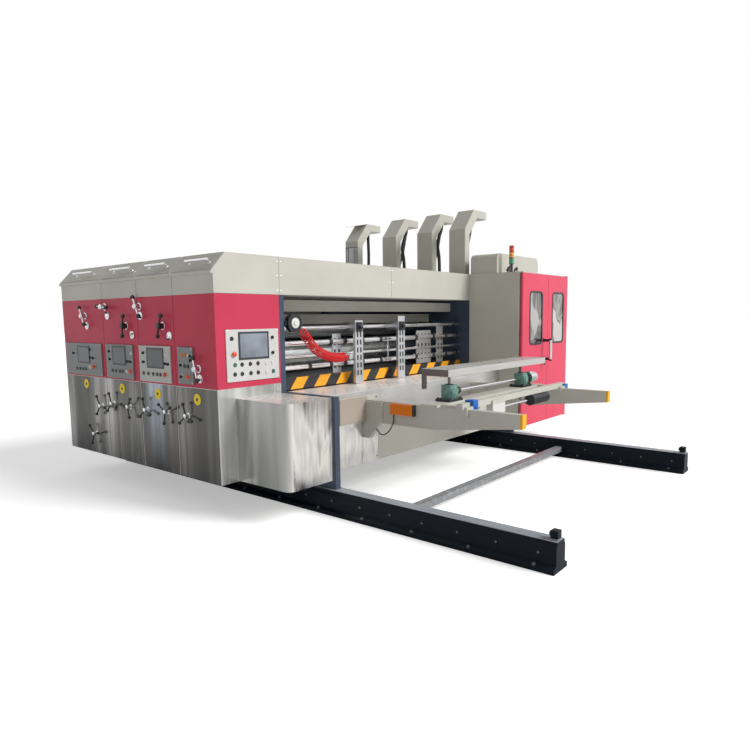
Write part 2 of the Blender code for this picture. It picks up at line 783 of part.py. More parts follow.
def build_guard(parent):
    """Steel guard in front of the operator pillar, with a round front corner."""
    right = PLATE_X - SEAT
    corners = (True, False, False, False)
    outline = rounded((GUARD_X, -GUARD_REACH), (right, -SEAT), GUARD_CORNER, corners, 5)
    guard = prism(outline, "Z", GUARD_Z[0], GUARD_Z[1])
    mesh_object("feeder_guard", guard, "brushed_steel", parent, smooth=True)


def build_table(parent):
    """Feed table folded down into the front apron, and the striped guard over the feed gap."""
    left, right = INNER_LEFT + SEAT, INNER_RIGHT - SEAT
    inner = APRON_Y - APRON_THICK
    profile = (
        (-APRON_Y, COVER_BOTTOM), (-inner, COVER_BOTTOM), (-inner, TABLE_TOP - TABLE_THICK),
        (TABLE_BACK, TABLE_TOP - TABLE_THICK), (TABLE_BACK, TABLE_TOP), (-APRON_Y, TABLE_TOP),
    )
    mesh_object("feed_table", prism(profile, "X", left, right), "panel_beige", parent)
    guard = block((left, right), (TABLE_BACK - HAZARD_THICK, TABLE_BACK), HAZARD_Z)
    mesh_object("hazard_guard", guard, "hazard_yellow", parent)


def build_shaft_rack(parent):
    """Cross shafts in the feeder's mouth, with the flat plates that they carry."""
    start = INNER_LEFT + SEAT
    length = MOUTH_WIDTH - 2.0 * SEAT
    height, radius = SHAFT_HEIGHTS[1], SHAFT_RADII[1]
    rack = mesh_object(
        "mouth_shafts", cylinder((start, SHAFT_Y, height), (1.0, 0.0, 0.0), length, radius, 16),
        "chrome", parent, smooth=True)
    shapes = [
        cylinder((start, SHAFT_Y, SHAFT_HEIGHTS[i]), (1.0, 0.0, 0.0), length, SHAFT_RADII[i], 16)
        for i in (0, 2, 3)
    ]
    for offset, width, low_z, high_z in RACK_PLATES:
        left = offset + (INNER_LEFT if offset > 0.0 else INNER_RIGHT)
        shapes.append(block((left, left + width), (SHAFT_Y, SHAFT_Y + RACK_PLATE_THICK), (low_z, high_z)))
    port_start = air_hose_y() - AIR_PORT_RADIUS
    shapes.append(cylinder((AIR_PORT_X, port_start, AIR_PORT_Z), (0.0, 1.0, 0.0), SHAFT_Y - port_start,
                           AIR_PORT_RADIUS, 12))
    combine(rack, "UNION", shapes)


def build_guide(index, carrier):
    """Upright aluminium guide with folded edges, hung from the guide shaft by a clamp."""
    left = GUIDE_LEFTS[index]
    right = left + GUIDE_WIDTH
    back = GUIDE_Y + GUIDE_THICK
    bottom = TABLE_TOP + FEED_GAP
    section = (
        (left, GUIDE_Y), (right, GUIDE_Y), (right, back), (right - GUIDE_WALL, back),
        (right - GUIDE_WALL, GUIDE_Y + GUIDE_WALL), (left + GUIDE_WALL, GUIDE_Y + GUIDE_WALL),
        (left + GUIDE_WALL, back), (left, back),
    )
    name = ("left_guide", "right_guide")[index]
    guide = mesh_object(name, prism(section, "Z", bottom, GUIDE_TOPS[index]), "aluminium", carrier)
    middle = (left + right) / 2.0
    half = GUIDE_CLAMP / 2.0
    shaft_z = SHAFT_HEIGHTS[0]
    grip = block(
        (middle - GRIP_WIDTH / 2.0, middle + GRIP_WIDTH / 2.0), (GUIDE_Y + GRIP_INSET, SHAFT_Y + half),
        (shaft_z - half, shaft_z + half))
    bore = cylinder(
        (left, SHAFT_Y, shaft_z), (1.0, 0.0, 0.0), GUIDE_WIDTH, SHAFT_RADII[0] + PIN_GAP, 16)
    combine(guide, "UNION", [grip])
    combine(guide, "DIFFERENCE", [bore])
    return guide


def beam_outline():
    """Return a beam's side outline: level top, straight belly and a taper to the end cap."""
    root = -APRON_Y - SEAT
    return (
        (root, BEAM_TOP), (-BEAM_END, BEAM_TOP), (-BEAM_END, BEAM_TOP - BEAM_END_DEPTH),
        (-BEAM_BELLY_Y, BEAM_TOP - BEAM_DEPTH), (root, BEAM_TOP - BEAM_DEPTH),
    )


def build_beam(index, parent):
    """Cantilever beam with the gusset that holds it to the apron."""
    left = BEAM_LEFTS[index]
    name = ("operator_beam", "drive_beam")[index]
    beam = mesh_object(name, prism(beam_outline(), "X", left, left + BEAM_WIDTH), "panel_beige", parent)
    root = -APRON_Y - SEAT
    tip = root - GUSSET_REACH
    side = (
        (root, GUSSET_BOTTOM), (root, BEAM_TOP - GUSSET_DROP), (tip, BEAM_TOP - GUSSET_DROP),
        (tip, BEAM_TOP - BEAM_DEPTH + GUSSET_TIP_RISE), (root - GUSSET_FOOT, GUSSET_BOTTOM),
    )
    shapes = [prism(side, "X", left - GUSSET_THICK, left + BEAM_WIDTH / 2.0)]
    if index == 0:
        sensor = rounded((-SENSOR_Y[0], SENSOR_Z[0]), (-SENSOR_Y[1], SENSOR_Z[1]), SENSOR_CORNER, steps=2)
        shapes.append(prism(sensor, "X", left - SENSOR_THICK, left + JOIN))
    combine(beam, "UNION", shapes)
    return beam


def gusset_tip():
    """Return the gusset's lower front corner at the beam, along and up."""
    return Vector((-APRON_Y - SEAT - GUSSET_REACH, BEAM_TOP - BEAM_DEPTH + GUSSET_TIP_RISE))


def sensor_cable_route():
    """Return the cable's route from under the sensor box to the gusset's slanted edge."""
    x = BEAM_LEFTS[0] - SENSOR_CABLE_INSET
    tip = gusset_tip()
    slant = Vector((-APRON_Y - SEAT - GUSSET_FOOT, GUSSET_BOTTOM)) - tip
    edge = tip + slant * ((SENSOR_CABLE_Z - tip.y) / slant.y)
    out = Vector((slant.y, -slant.x)).normalized()
    start = Vector((x, -SENSOR_Y[1] - SENSOR_CABLE_FROM_END, SENSOR_Z[0] - SEAT))
    points = [start, start - Vector((0.0, 0.0, 0.03)), start - Vector((0.0, 0.0, 0.06))]
    points += [Vector((x, -0.722, 0.648)), Vector((x, -0.691, 0.600)), Vector((x, -0.645, 0.563))]
    for reach in (0.07, 0.035, SEAT):
        place = edge + out * reach
        points.append(Vector((x, place.x, place.y)))
    return points


# Back stop

def build_carriage(carrier):
    """Rectangular carriage: rear plate for the jacks, front cross member, and clamps round the beams."""
    left = BEAM_LEFTS[0] - CARRIAGE_OVERHANG
    right = BEAM_LEFTS[1] + BEAM_WIDTH + CARRIAGE_OVERHANG
    low = BEAM_TOP + SEAT
    front = -CARRIAGE_FRONT_Y
    rear = -CARRIAGE_REAR_Y + CARRIAGE_REAR_WIDTH / 2.0
    plate = block(
        (left, right), (-CARRIAGE_REAR_Y - CARRIAGE_REAR_WIDTH / 2.0, rear), (low, low + CARRIAGE_BAR))
    carriage = mesh_object("backstop_carriage", plate, "panel_beige", carrier)
    front_half = CARRIAGE_FRONT_WIDTH / 2.0
    member_y = (front - front_half, front + front_half)
    shapes = [block((left, right), member_y, (low, low + CARRIAGE_FRONT_HEIGHT))]
    for beam in BEAM_LEFTS:
        middle = beam + BEAM_WIDTH / 2.0
        half = CARRIAGE_RUNNER / 2.0
        shapes.append(block((middle - half, middle + half), (front, rear), (low, low + CARRIAGE_BAR)))
        for side in (beam - RUN_GAP - CLAMP_WALL, beam + BEAM_WIDTH + RUN_GAP):
            shapes.append(block(
                (side, side + CLAMP_WALL), (front - CLAMP_LENGTH / 2.0, front + CLAMP_LENGTH / 2.0),
                (BEAM_TOP - CLAMP_DROP, low + CARRIAGE_BAR)))
        shapes.append(block(
            (beam - RUN_GAP - CLAMP_WALL, beam + BEAM_WIDTH + RUN_GAP + CLAMP_WALL),
            (front - CLAMP_LENGTH / 2.0, front + CLAMP_LENGTH / 2.0), (low, low + CARRIAGE_BAR)))
    shapes += carriage_drive_shapes(front - DRIVE_AXIS_AHEAD)
    combine(carriage, "UNION", shapes)
    combine(carriage, "DIFFERENCE", screw_bores(low - JOIN, CARRIAGE_BAR + 2.0 * JOIN))


def carriage_drive_shapes(axis_y):
    """Gear cover, rod and motor under the cross member, on one axis across the machine."""
    cover_x = [INNER_LEFT + x for x in GEAR_COVER_X]
    motor_x = [INNER_LEFT + x for x in DRIVE_MOTOR_X]
    cover = rounded((cover_x[0], GEAR_COVER_Z[0]), (cover_x[1], GEAR_COVER_Z[1]), GEAR_COVER_CORNER, steps=2)
    rod_start = cover_x[1] - JOIN
    length = motor_x[1] - motor_x[0]
    body = DRIVE_MOTOR_RADIUS - 0.004
    motor = (
        (0.0, DRIVE_MOTOR_RADIUS), (MOTOR_FLANGE, DRIVE_MOTOR_RADIUS), (MOTOR_FLANGE, body),
        (length - MOTOR_CAP, body), (length - MOTOR_CAP, DRIVE_MOTOR_RADIUS - 0.001),
        (length - 0.006, DRIVE_MOTOR_RADIUS - 0.001), (length, DRIVE_MOTOR_RADIUS - 0.009),
    )
    return [
        prism(cover, "Y", axis_y - GEAR_COVER_DEPTH / 2.0, axis_y + GEAR_COVER_DEPTH / 2.0),
        cylinder((rod_start, axis_y, DRIVE_AXIS_Z), (1.0, 0.0, 0.0), motor_x[0] + JOIN - rod_start,
                 DRIVE_ROD_RADIUS, 12),
        turned(motor, (motor_x[0], axis_y, DRIVE_AXIS_Z), (1.0, 0.0, 0.0), 20),
    ]


def screw_bores(start, length):
    """Return the running holes of the two lifting screws."""
    return [
        cylinder((x, -CARRIAGE_REAR_Y, start), (0.0, 0.0, 1.0), length, SCREW_RADIUS + PIN_GAP, 12)
        for x in JACK_XS
    ]


def build_lift_drive(carrier):
    """Two screw jack gearboxes on base plates, the cross shaft that couples them and the motor."""
    base_z = BEAM_TOP + 2.0 * SEAT + CARRIAGE_BAR
    axis_z = base_z + JACK_BASE[2] + JACK_SHAFT_Z
    middle = -CARRIAGE_REAR_Y
    half = JACK_SIZE / 2.0
    shaft_end = JACK_XS[1] + half + COUPLING_LENGTH
    shaft = cylinder(
        (JACK_XS[0], middle, axis_z), (1.0, 0.0, 0.0), shaft_end - JACK_XS[0], CROSS_SHAFT_RADIUS, 16)
    drive = mesh_object("lift_drive", shaft, "gearbox_green", carrier)
    shapes = []
    for x in JACK_XS:
        base = (x - JACK_BASE[0] / 2.0, x + JACK_BASE[0] / 2.0)
        shapes.append(block(base, (middle - JACK_BASE[1] / 2.0, middle + JACK_BASE[1] / 2.0),
                            (base_z, base_z + JACK_BASE[2])))
        housing = rounded((x - half, middle - half), (x + half, middle + half), JACK_CORNER, steps=2)
        shapes.append(prism(housing, "Z", base_z + JACK_BASE[2] / 2.0, base_z + JACK_BASE[2] + JACK_HEIGHT))
        shapes.append(cylinder((x + half - JOIN, middle, axis_z), (1.0, 0.0, 0.0), JACK_BOSS_REACH + JOIN,
                               JACK_BOSS_RADIUS, 16))
        shapes.append(cylinder((x + half + JACK_BOSS_REACH, middle, axis_z), (1.0, 0.0, 0.0),
                               COUPLING_LENGTH - JACK_BOSS_REACH, COUPLING_RADIUS, 16))
    motor = (
        (0.0, MOTOR_FLANGE_RADIUS), (MOTOR_FLANGE, MOTOR_FLANGE_RADIUS), (MOTOR_FLANGE, MOTOR_RADIUS),
        (MOTOR_LENGTH - MOTOR_CAP, MOTOR_RADIUS), (MOTOR_LENGTH, MOTOR_CAP_RADIUS),
    )
    shapes.append(turned(motor, (shaft_end - JOIN / 2.0, middle, axis_z), (1.0, 0.0, 0.0), 20))
    combine(drive, "UNION", shapes)
    combine(drive, "DIFFERENCE", screw_bores(base_z - JOIN, JACK_BASE[2] + JACK_HEIGHT + 2.0 * JOIN))


def build_lifting_bar(carrier):
    """Broad back stop bar on two lifting screws, with a short leg at its operator end."""
    bar = mesh_object(
        "lifting_bar", block(BAR_X, (-BAR_Y[0], -BAR_Y[1]), BAR_Z), "brushed_steel", carrier)
    screw_start = BEAM_TOP - SCREW_BELOW
    screw_length = BAR_Z[0] + JOIN - screw_start
    shapes = [
        cylinder((x, -CARRIAGE_REAR_Y, screw_start), (0.0, 0.0, 1.0), screw_length, SCREW_RADIUS, 12)
        for x in JACK_XS
    ]
    shapes.append(block(
        (BAR_X[0], BAR_X[0] + BAR_LEG_WIDTH), (-BAR_Y[1] - BAR_LEG_THICK, -BAR_Y[1]),
        (BAR_Z[0] - BAR_LEG_DROP, BAR_Z[0] + JOIN)))
    combine(bar, "UNION", shapes)


# Cabinet

def cabinet_place(x):
    """Return a place across the cabinet, from its inner side."""
    return INNER_RIGHT + x


def build_cabinet(parent):
    """Switch cabinet that also encloses the feeder's drive, open behind its doors."""
    _, back = unit_span(0)
    front = -CABINET_FRONT
    outline = (
        (INNER_RIGHT, front), (CABINET_RIGHT, front), (CABINET_RIGHT, back), (DRIVE_X + SEAT, back),
        (DRIVE_X + SEAT, -SEAT), (INNER_RIGHT, -SEAT),
    )
    cabinet = mesh_object("cabinet", prism(outline, "Z", CABINET_BOTTOM, ROOF), "panel_beige", parent)
    top_box = prism(
        rounded((cabinet_place(TOP_BOX_X[0]), ROOF - JOIN),
                (cabinet_place(TOP_BOX_X[1]), ROOF + TOP_BOX_HEIGHT), TOP_BOX_CORNER,
                (False, False, True, True), 4), "Y", TOP_BOX_Y[0], TOP_BOX_Y[1])
    combine(cabinet, "UNION", [top_box])
    room = block(
        (INNER_RIGHT + CABINET_WALL, CABINET_RIGHT - CABINET_WALL),
        (front - JOIN, front + CABINET_DEPTH_INSIDE),
        (CABINET_BOTTOM + CABINET_WALL, ROOF - CABINET_WALL))
    combine(cabinet, "DIFFERENCE", [room])
    lugs = []
    for hinge_x in hinge_places():
        x = (hinge_x - DOOR_THICK / 2.0, hinge_x + DOOR_THICK / 2.0)
        y = (front - RUN_GAP - DOOR_THICK, front + JOIN)
        lugs.append(block(x, y, (CABINET_BOTTOM, CABINET_BOTTOM + DOOR_MARGIN - SEAT)))
        lugs.append(block(x, y, (ROOF - DOOR_MARGIN + SEAT, ROOF)))
    combine(cabinet, "UNION", lugs)


def hinge_places():
    """Return the two doors' hinge lines across the machine, half a leaf's thickness from each edge."""
    inset = DOOR_MARGIN + DOOR_THICK / 2.0
    return INNER_RIGHT + inset, CABINET_RIGHT - inset


def build_door(index, carrier):
    """Cabinet door leaf with a round hinge edge and a shallow window recess, its origin on the hinge."""
    outer = (INNER_RIGHT + DOOR_MARGIN, CABINET_RIGHT - DOOR_MARGIN)
    seam = INNER_RIGHT + DOOR_SEAM
    span = ((outer[0], seam - RUN_GAP / 2.0), (seam + RUN_GAP / 2.0, outer[1]))[index]
    face = -CABINET_FRONT - RUN_GAP
    low, high = CABINET_BOTTOM + DOOR_MARGIN, ROOF - DOOR_MARGIN
    name = ("left_door", "right_door")[index]
    is_left = index == 0
    outline = rounded(
        (span[0], face - DOOR_THICK), (span[1], face), DOOR_THICK / 2.0 - SEAT,
        (is_left, not is_left, not is_left, is_left), 4)
    door = mesh_object(name, prism(outline, "Z", low, high), "signal_red", carrier)
    left = cabinet_place(WINDOW_LEFTS[index])
    window = prism(
        rounded((left, WINDOW_Z[0]), (left + WINDOW_WIDTH, WINDOW_Z[1]), WINDOW_CORNER, steps=3), "Y",
        face - DOOR_THICK - JOIN, face - DOOR_THICK + WINDOW_POCKET)
    combine(door, "DIFFERENCE", [window])
    if is_left:
        combine(door, "UNION", door_handle_shapes(seam - DOOR_HANDLE_FROM_SEAM, face - DOOR_THICK))
    return door


def door_handle_shapes(x, surface):
    """Upright tube handle on two posts."""
    axis_y = surface - DOOR_HANDLE_REACH
    bottom, top = DOOR_HANDLE_Z
    half = DOOR_HANDLE_POST / 2.0
    shapes = [cylinder((x, axis_y, bottom), (0.0, 0.0, 1.0), top - bottom, DOOR_HANDLE_RADIUS, 16)]
    for low in (bottom + DOOR_HANDLE_POST_INSET, top - DOOR_HANDLE_POST_INSET - DOOR_HANDLE_POST):
        height = (low, low + DOOR_HANDLE_POST)
        shapes.append(block((x - half / 2.0, x + half / 2.0), (axis_y, surface + JOIN), height))
    return shapes


def build_stack_light(parent):
    """Signal light column on the cabinet roof."""
    profile = (
        (0.0, LIGHT_FOOT_RADIUS), (LIGHT_FOOT, LIGHT_FOOT_RADIUS), (LIGHT_FOOT, LIGHT_STEM_RADIUS),
        (LIGHT_STEM, LIGHT_STEM_RADIUS), (LIGHT_STEM, LIGHT_RADIUS), (LIGHT_HEIGHT - LIGHT_CAP, LIGHT_RADIUS),
        (LIGHT_HEIGHT, LIGHT_CAP_RADIUS),
    )
    mesh_object(
        "stack_light", turned(profile, (cabinet_place(LIGHT_X), LIGHT_Y, ROOF + SEAT), (0.0, 0.0, 1.0), 16),
        "lamp_red", parent, smooth=True)


# Air hose

def air_hose_y():
    """Return the air hose's distance behind the pillar's front: the middle of its reel."""
    return REEL_Y + REEL_THICK / 2.0


def air_hose_route():
    """Return the hose's route from the reel's rim down to the air port."""
    y = air_hose_y()
    rim = math.radians(-40.0)
    away = Vector((math.cos(rim), 0.0, math.sin(rim)))
    start = Vector((REEL_X, y, REEL_Z)) + away * (REEL_RADIUS + SEAT)
    end = Vector((AIR_PORT_X - AIR_PORT_RADIUS - SEAT, y, AIR_PORT_Z))
    points = [start, start + away * 0.03, start + away * 0.08]
    for along, height in ((0.33, 1.325), (0.43, 1.265), (0.55, 1.225), (0.67, 1.213)):
        points.append(Vector((INNER_LEFT + along, y, height)))
    points += [end - Vector((0.04, 0.0, 0.0)), end]
    return points


def build_air_hose(parent):
    """Hose reel on the operator plate and the curly air hose that hangs from it."""
    profile = (
        (0.0, REEL_RADIUS), (REEL_RIM, REEL_RADIUS), (REEL_RIM, REEL_DRUM_RADIUS),
        (REEL_THICK - REEL_RIM, REEL_DRUM_RADIUS), (REEL_THICK - REEL_RIM, REEL_RADIUS),
        (REEL_THICK, REEL_RADIUS),
    )
    reel = mesh_object(
        "hose_reel", turned(profile, (REEL_X, REEL_Y, REEL_Z), (0.0, 1.0, 0.0), 24), "knob_black", parent,
        smooth=True)
    middle = air_hose_y()
    bracket = block(
        (INNER_LEFT + SEAT, REEL_X), (middle - REEL_BRACKET_THICK / 2.0, middle + REEL_BRACKET_THICK / 2.0),
        (REEL_Z - REEL_BRACKET_HEIGHT / 2.0, REEL_Z + REEL_BRACKET_HEIGHT / 2.0))
    combine(reel, "UNION", [bracket])


def build_levers(carriers):
    """Two-armed hand levers with ball ends on the operator housings."""
    for number, (unit, behind, height, tilt) in enumerate(LEVERS):
        start = UNIT_STARTS[UNIT_NAMES.index(unit)]
        centre = Vector((-SEAT, start + behind, height))
        name = f"hand_lever_{number + 1}"
        pivot = empty(f"{name}_pivot", centre, carriers[unit])
        hub = (
            (0.0, LEVER_HUB_RADIUS), (LEVER_HUB_LENGTH - LEVER_HUB_CHAMFER, LEVER_HUB_RADIUS),
            (LEVER_HUB_LENGTH, LEVER_HUB_RADIUS - LEVER_HUB_CHAMFER),
        )
        lever = mesh_object(name, turned(hub, centre, (-1.0, 0.0, 0.0), 16), "chrome", pivot, smooth=True)
        angle = math.radians(tilt)
        along = Vector((0.0, math.cos(angle), math.sin(angle)))
        ends = LEVER_ARM - LEVER_BALL_RADIUS
        rod = ball_profile(-ends, LEVER_BALL_RADIUS)[:-1] + [(-ends + LEVER_BALL_RADIUS, LEVER_ROD_RADIUS)]
        rod += [(-along_axis, radius) for along_axis, radius in reversed(rod)]
        middle = centre + Vector((LEVER_BALL_RADIUS - LEVER_HUB_LENGTH, 0.0, 0.0))
        combine(lever, "UNION", [turned(rod, middle, along, 10)])


def build_feeder_front(carriers):
    """Everything at the feed end that is not a plain unit cover."""
    parent = carriers["feeder"]
    build_guard(parent)
    build_table(parent)
    build_shaft_rack(parent)
    for index, name in enumerate(("left_guide", "right_guide")):
        slide = empty(f"{name}_slide", (GUIDE_LEFTS[index], SHAFT_Y, SHAFT_HEIGHTS[0]), parent)
        build_guide(index, slide)
    for index in range(2):
        build_beam(index, parent)
    carriage = empty("carriage_slide", (BEAM_LEFTS[0], -CARRIAGE_REAR_Y, BEAM_TOP), parent)
    build_carriage(carriage)
    build_lift_drive(carriage)
    lift = empty("lift_slide", (JACK_XS[0], -CARRIAGE_REAR_Y, BAR_Z[0]), carriage)
    build_lifting_bar(lift)
    build_cabinet(parent)
    hinge_y = -CABINET_FRONT - RUN_GAP - DOOR_THICK / 2.0
    for index, name in enumerate(("left_door", "right_door")):
        hinge = empty(f"{name}_hinge", (hinge_places()[index], hinge_y, CABINET_BOTTOM), parent)
        build_door(index, hinge)
    build_stack_light(parent)
    build_air_hose(parent)
    hose("air_hose", air_hose_route(), AIR_HOSE_RADIUS, "hose_red", parent)
    hose("sensor_cable", sensor_cable_route(), SENSOR_CABLE_RADIUS, "hose_black", parent)


def build_machine():
    """Build every unit on its own carrier, from the delivery end forwards."""
    clear_scene()
    machine = empty("machine", -MIDDLE)
    carriers = {"die_cutter": machine}
    previous = machine
    for number in (2, 1, 0):
        name = UNIT_NAMES[number]
        previous = empty(f"{name}_slide", (PLATE_X, UNIT_STARTS[number], RAIL_HEIGHT), previous)
        carriers[name] = previous
    build_rails(machine)
    for number, name in enumerate(UNIT_NAMES):
        parent = carriers[name]
        build_frame(number, parent)
        build_unit_covers(number, parent)
        build_duct(number, parent)
        build_duct_hoses(number, parent)
        if number:
            build_drive_housing(number, parent)
            build_cylinder(number, parent)
    build_feeder_front(carriers)
    build_levers(carriers)


build_machine()
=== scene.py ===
"""Finish of a four-unit flexo printer slotter die cutter, laid out as a Blender add-on.

Places are given from the machine's own corner: the operator side's outer face (X), the
front of the feeder's pillar (Y) and the floor (Z), in metres. at() moves them to the world.
A profile is a row of (distance along, radius) pairs, which add_turned() spins about a line.
"""
import json
import math

import bmesh
import bpy
from mathutils import Matrix, Vector


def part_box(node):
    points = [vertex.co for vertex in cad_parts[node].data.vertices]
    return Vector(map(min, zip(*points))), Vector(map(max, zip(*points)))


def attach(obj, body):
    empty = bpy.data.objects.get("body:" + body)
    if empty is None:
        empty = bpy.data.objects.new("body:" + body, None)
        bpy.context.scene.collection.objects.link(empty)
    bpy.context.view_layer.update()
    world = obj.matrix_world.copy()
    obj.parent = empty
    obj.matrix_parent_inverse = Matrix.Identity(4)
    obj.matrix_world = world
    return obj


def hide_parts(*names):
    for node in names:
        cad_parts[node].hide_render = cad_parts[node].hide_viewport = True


bl_info = {
    "name": "Slotter Finish",
    "version": (1, 0, 0),
    "blender": (4, 5, 0),
    "location": "View3D > Sidebar > Slotter",
    "description": "Surfaces, controls, trim and hoses of a corrugated board printer slotter",
    "category": "Object",
}

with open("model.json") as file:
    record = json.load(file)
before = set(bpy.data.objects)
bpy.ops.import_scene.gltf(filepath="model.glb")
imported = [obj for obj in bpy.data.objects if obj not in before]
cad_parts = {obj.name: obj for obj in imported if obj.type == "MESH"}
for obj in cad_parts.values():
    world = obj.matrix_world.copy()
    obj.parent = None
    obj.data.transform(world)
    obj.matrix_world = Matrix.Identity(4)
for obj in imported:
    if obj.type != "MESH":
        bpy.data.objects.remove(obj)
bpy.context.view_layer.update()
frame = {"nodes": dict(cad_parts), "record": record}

# Places read from the frame
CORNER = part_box("feeder_lower_cover")[0]
ORIGIN = Vector((CORNER.x, CORNER.y, 0.0))
UNITS = ("feeder", "printer_1", "printer_2", "die_cutter")
COVER_FOOT, COVER_TOP = (corner.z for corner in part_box("feeder_lower_cover"))
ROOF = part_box("feeder_hood")[1].z

# Places that several groups of pieces share
MOUTH = (0.70, 3.70)
DRIVE_PLATE_X = 3.755
TABLE_TOP = 0.93

# Ways out of the machine
TO_OPERATOR = (-1.0, 0.0, 0.0)
TO_DRIVE = (1.0, 0.0, 0.0)
TO_FRONT = (0.0, -1.0, 0.0)
UP = (0.0, 0.0, 1.0)

# Angles that part sharp edges from soft ones, in degrees
BEVEL_ANGLE = 30.0
SMOOTH_ANGLE = 35.0

# Camera: place, turn in degrees and lens in the picture's pixels
PICTURE = 750.0
CAMERA_PLACE = (-2.8402, -4.0338, 1.5844)
CAMERA_YAW = 51.144
CAMERA_PITCH = 6.639
CAMERA_ROLL = -0.573
FOCAL_PIXELS = 612.8
LENS_CENTRE = (392.25, 388.79)
SENSOR = 36.0
CAMERA_REACH = 200.0

# Light
FLOOR_SIZE = 160.0
FLOOR_GLOW = 0.42
KEY_ENERGY = 2.75
KEY_SPREAD = 25.0
KEY_WAY = (-0.30, 0.75, -0.60)
SURROUND_LIGHT = 0.30
WHITE = (1.0, 1.0, 1.0, 1.0)


def at(x, y, z):
    """Return the world place of a point given from the machine's own corner."""
    return ORIGIN + Vector((x, y, z))


# Tools for making shapes

def deselect():
    """Leave edit mode and select nothing."""
    if bpy.context.object and bpy.context.object.mode != "OBJECT":
        bpy.ops.object.mode_set(mode="OBJECT")
    bpy.ops.object.select_all(action="DESELECT")


def open_edit(made):
    """Open one object's edit mode and return its shape."""
    deselect()
    made.select_set(True)
    bpy.context.view_layer.objects.active = made
    bpy.ops.object.mode_set(mode="EDIT")
    return bmesh.from_edit_mesh(made.data)


def apply_all(made):
    """Apply every modifier of an object."""
    bpy.context.view_layer.objects.active = made
    for step in list(made.modifiers):
        bpy.ops.object.modifier_apply(modifier=step.name)
    return made


def round_edges(made, width, segments=2):
    """Bevel an object's sharp edges with an applied modifier."""
    step = made.modifiers.new("edge", "BEVEL")
    step.width = width
    step.segments = segments
    step.limit_method = "ANGLE"
    step.angle_limit = math.radians(BEVEL_ANGLE)
    return apply_all(made)


def add_block(low, high, edge=0.0, segments=2):
    """Add a block between two machine places and round its edges."""
    deselect()
    low, high = at(*low), at(*high)
    bpy.ops.mesh.primitive_cube_add(size=1.0, location=(low + high) / 2.0)
    bpy.ops.transform.resize(value=high - low)
    bpy.ops.object.transform_apply(location=True, rotation=True, scale=True)
    made = bpy.context.object
    return round_edges(made, edge, segments) if edge else made


def add_turned(profile, centre, direction, sides=24):
    """Spin a profile about a direction through a machine place."""
    deselect()
    bpy.ops.mesh.primitive_circle_add(vertices=sides, radius=1.0, fill_type="NOTHING")
    made = bpy.context.object
    bpy.ops.object.mode_set(mode="EDIT")
    along, radius = profile[0]
    bpy.ops.transform.resize(value=(radius, radius, 1.0))
    bpy.ops.transform.translate(value=(0.0, 0.0, along))
    bpy.ops.mesh.edge_face_add()
    for next_along, next_radius in profile[1:]:
        step = (0.0, 0.0, next_along - along)
        bpy.ops.mesh.extrude_region_move(TRANSFORM_OT_translate={"value": step})
        ratio = next_radius / radius
        bpy.ops.transform.resize(value=(ratio, ratio, 1.0))
        along, radius = next_along, next_radius
    bpy.ops.mesh.select_all(action="SELECT")
    bpy.ops.mesh.normals_make_consistent(inside=False)
    bpy.ops.object.mode_set(mode="OBJECT")
    turn = Vector(direction).to_track_quat("Z", "Y").to_matrix().to_4x4()
    made.data.transform(Matrix.Translation(at(*centre)) @ turn)
    bpy.ops.object.shade_smooth_by_angle(angle=math.radians(SMOOTH_ANGLE))
    return made


def scaled(profile, radius, height=1.0):
    """Return a profile given in shares as one in metres."""
    return [(along * height, share * radius) for along, share in profile]


def add_bar(start, end, radius, sides=16, edge=0.0015):
    """Add a round bar with broken ends between two machine places."""
    run = Vector(end) - Vector(start)
    length = run.length
    profile = (
        (0.0, radius - edge), (edge, radius), (length - edge, radius), (length, radius - edge))
    return add_turned(profile, start, run, sides)


def add_ball(centre, radius, direction, sides=16, steps=8):
    """Add a ball as a turned shape about a machine place."""
    profile = []
    for step in range(steps + 1):
        turn = math.pi * (0.04 + 0.92 * step / steps)
        profile.append((-radius * math.cos(turn), radius * math.sin(turn)))
    return add_turned(profile, centre, direction, sides)


def add_stud(place, direction, radius, height, sides=12, dome=0.3):
    """Add a low domed fastener on a surface."""
    lift = height * dome
    profile = (
        (0.0, radius), (height - lift, radius), (height - lift * 0.3, radius * 0.82),
        (height, radius * 0.45))
    return add_turned(profile, place, direction, sides)


def add_bolt_head(place, direction, radius, height):
    """Add a hexagonal bolt head on a surface."""
    return add_stud(place, direction, radius, height, 6, 0.15)


def add_profile(points, axis, low, high):
    """Extrude an outline, given by its two other coordinates in order, along X, Y or Z."""
    deselect()
    bpy.ops.mesh.primitive_circle_add(vertices=len(points), radius=1.0, fill_type="NGON")
    made = bpy.context.object
    bpy.ops.object.mode_set(mode="EDIT")
    shape = bmesh.from_edit_mesh(made.data)
    shape.verts.ensure_lookup_table()
    for vert, (a, b) in zip(shape.verts, points):
        place = [a, b]
        place.insert("XYZ".index(axis), low)
        vert.co = at(*place)
    bmesh.update_edit_mesh(made.data)
    run = [0.0, 0.0]
    run.insert("XYZ".index(axis), high - low)
    bpy.ops.mesh.select_all(action="SELECT")
    bpy.ops.mesh.extrude_region_move(TRANSFORM_OT_translate={"value": run})
    bpy.ops.mesh.select_all(action="SELECT")
    bpy.ops.mesh.normals_make_consistent(inside=False)
    bpy.ops.object.mode_set(mode="OBJECT")
    return made


def sink_face(made, out, rim, depth, wall=0.001):
    """Inset the face that looks one way and push it back behind a sloping wall."""
    shape = open_edit(made)
    out = Vector(out)
    front = max(shape.faces, key=lambda f: f.normal.dot(out) * f.calc_area())
    for item in shape.faces:
        item.select_set(item is front)
    bmesh.update_edit_mesh(made.data)
    bpy.ops.mesh.inset(thickness=rim, depth=0.0)
    bpy.ops.mesh.inset(thickness=wall, depth=-depth)
    bpy.ops.object.mode_set(mode="OBJECT")
    return made


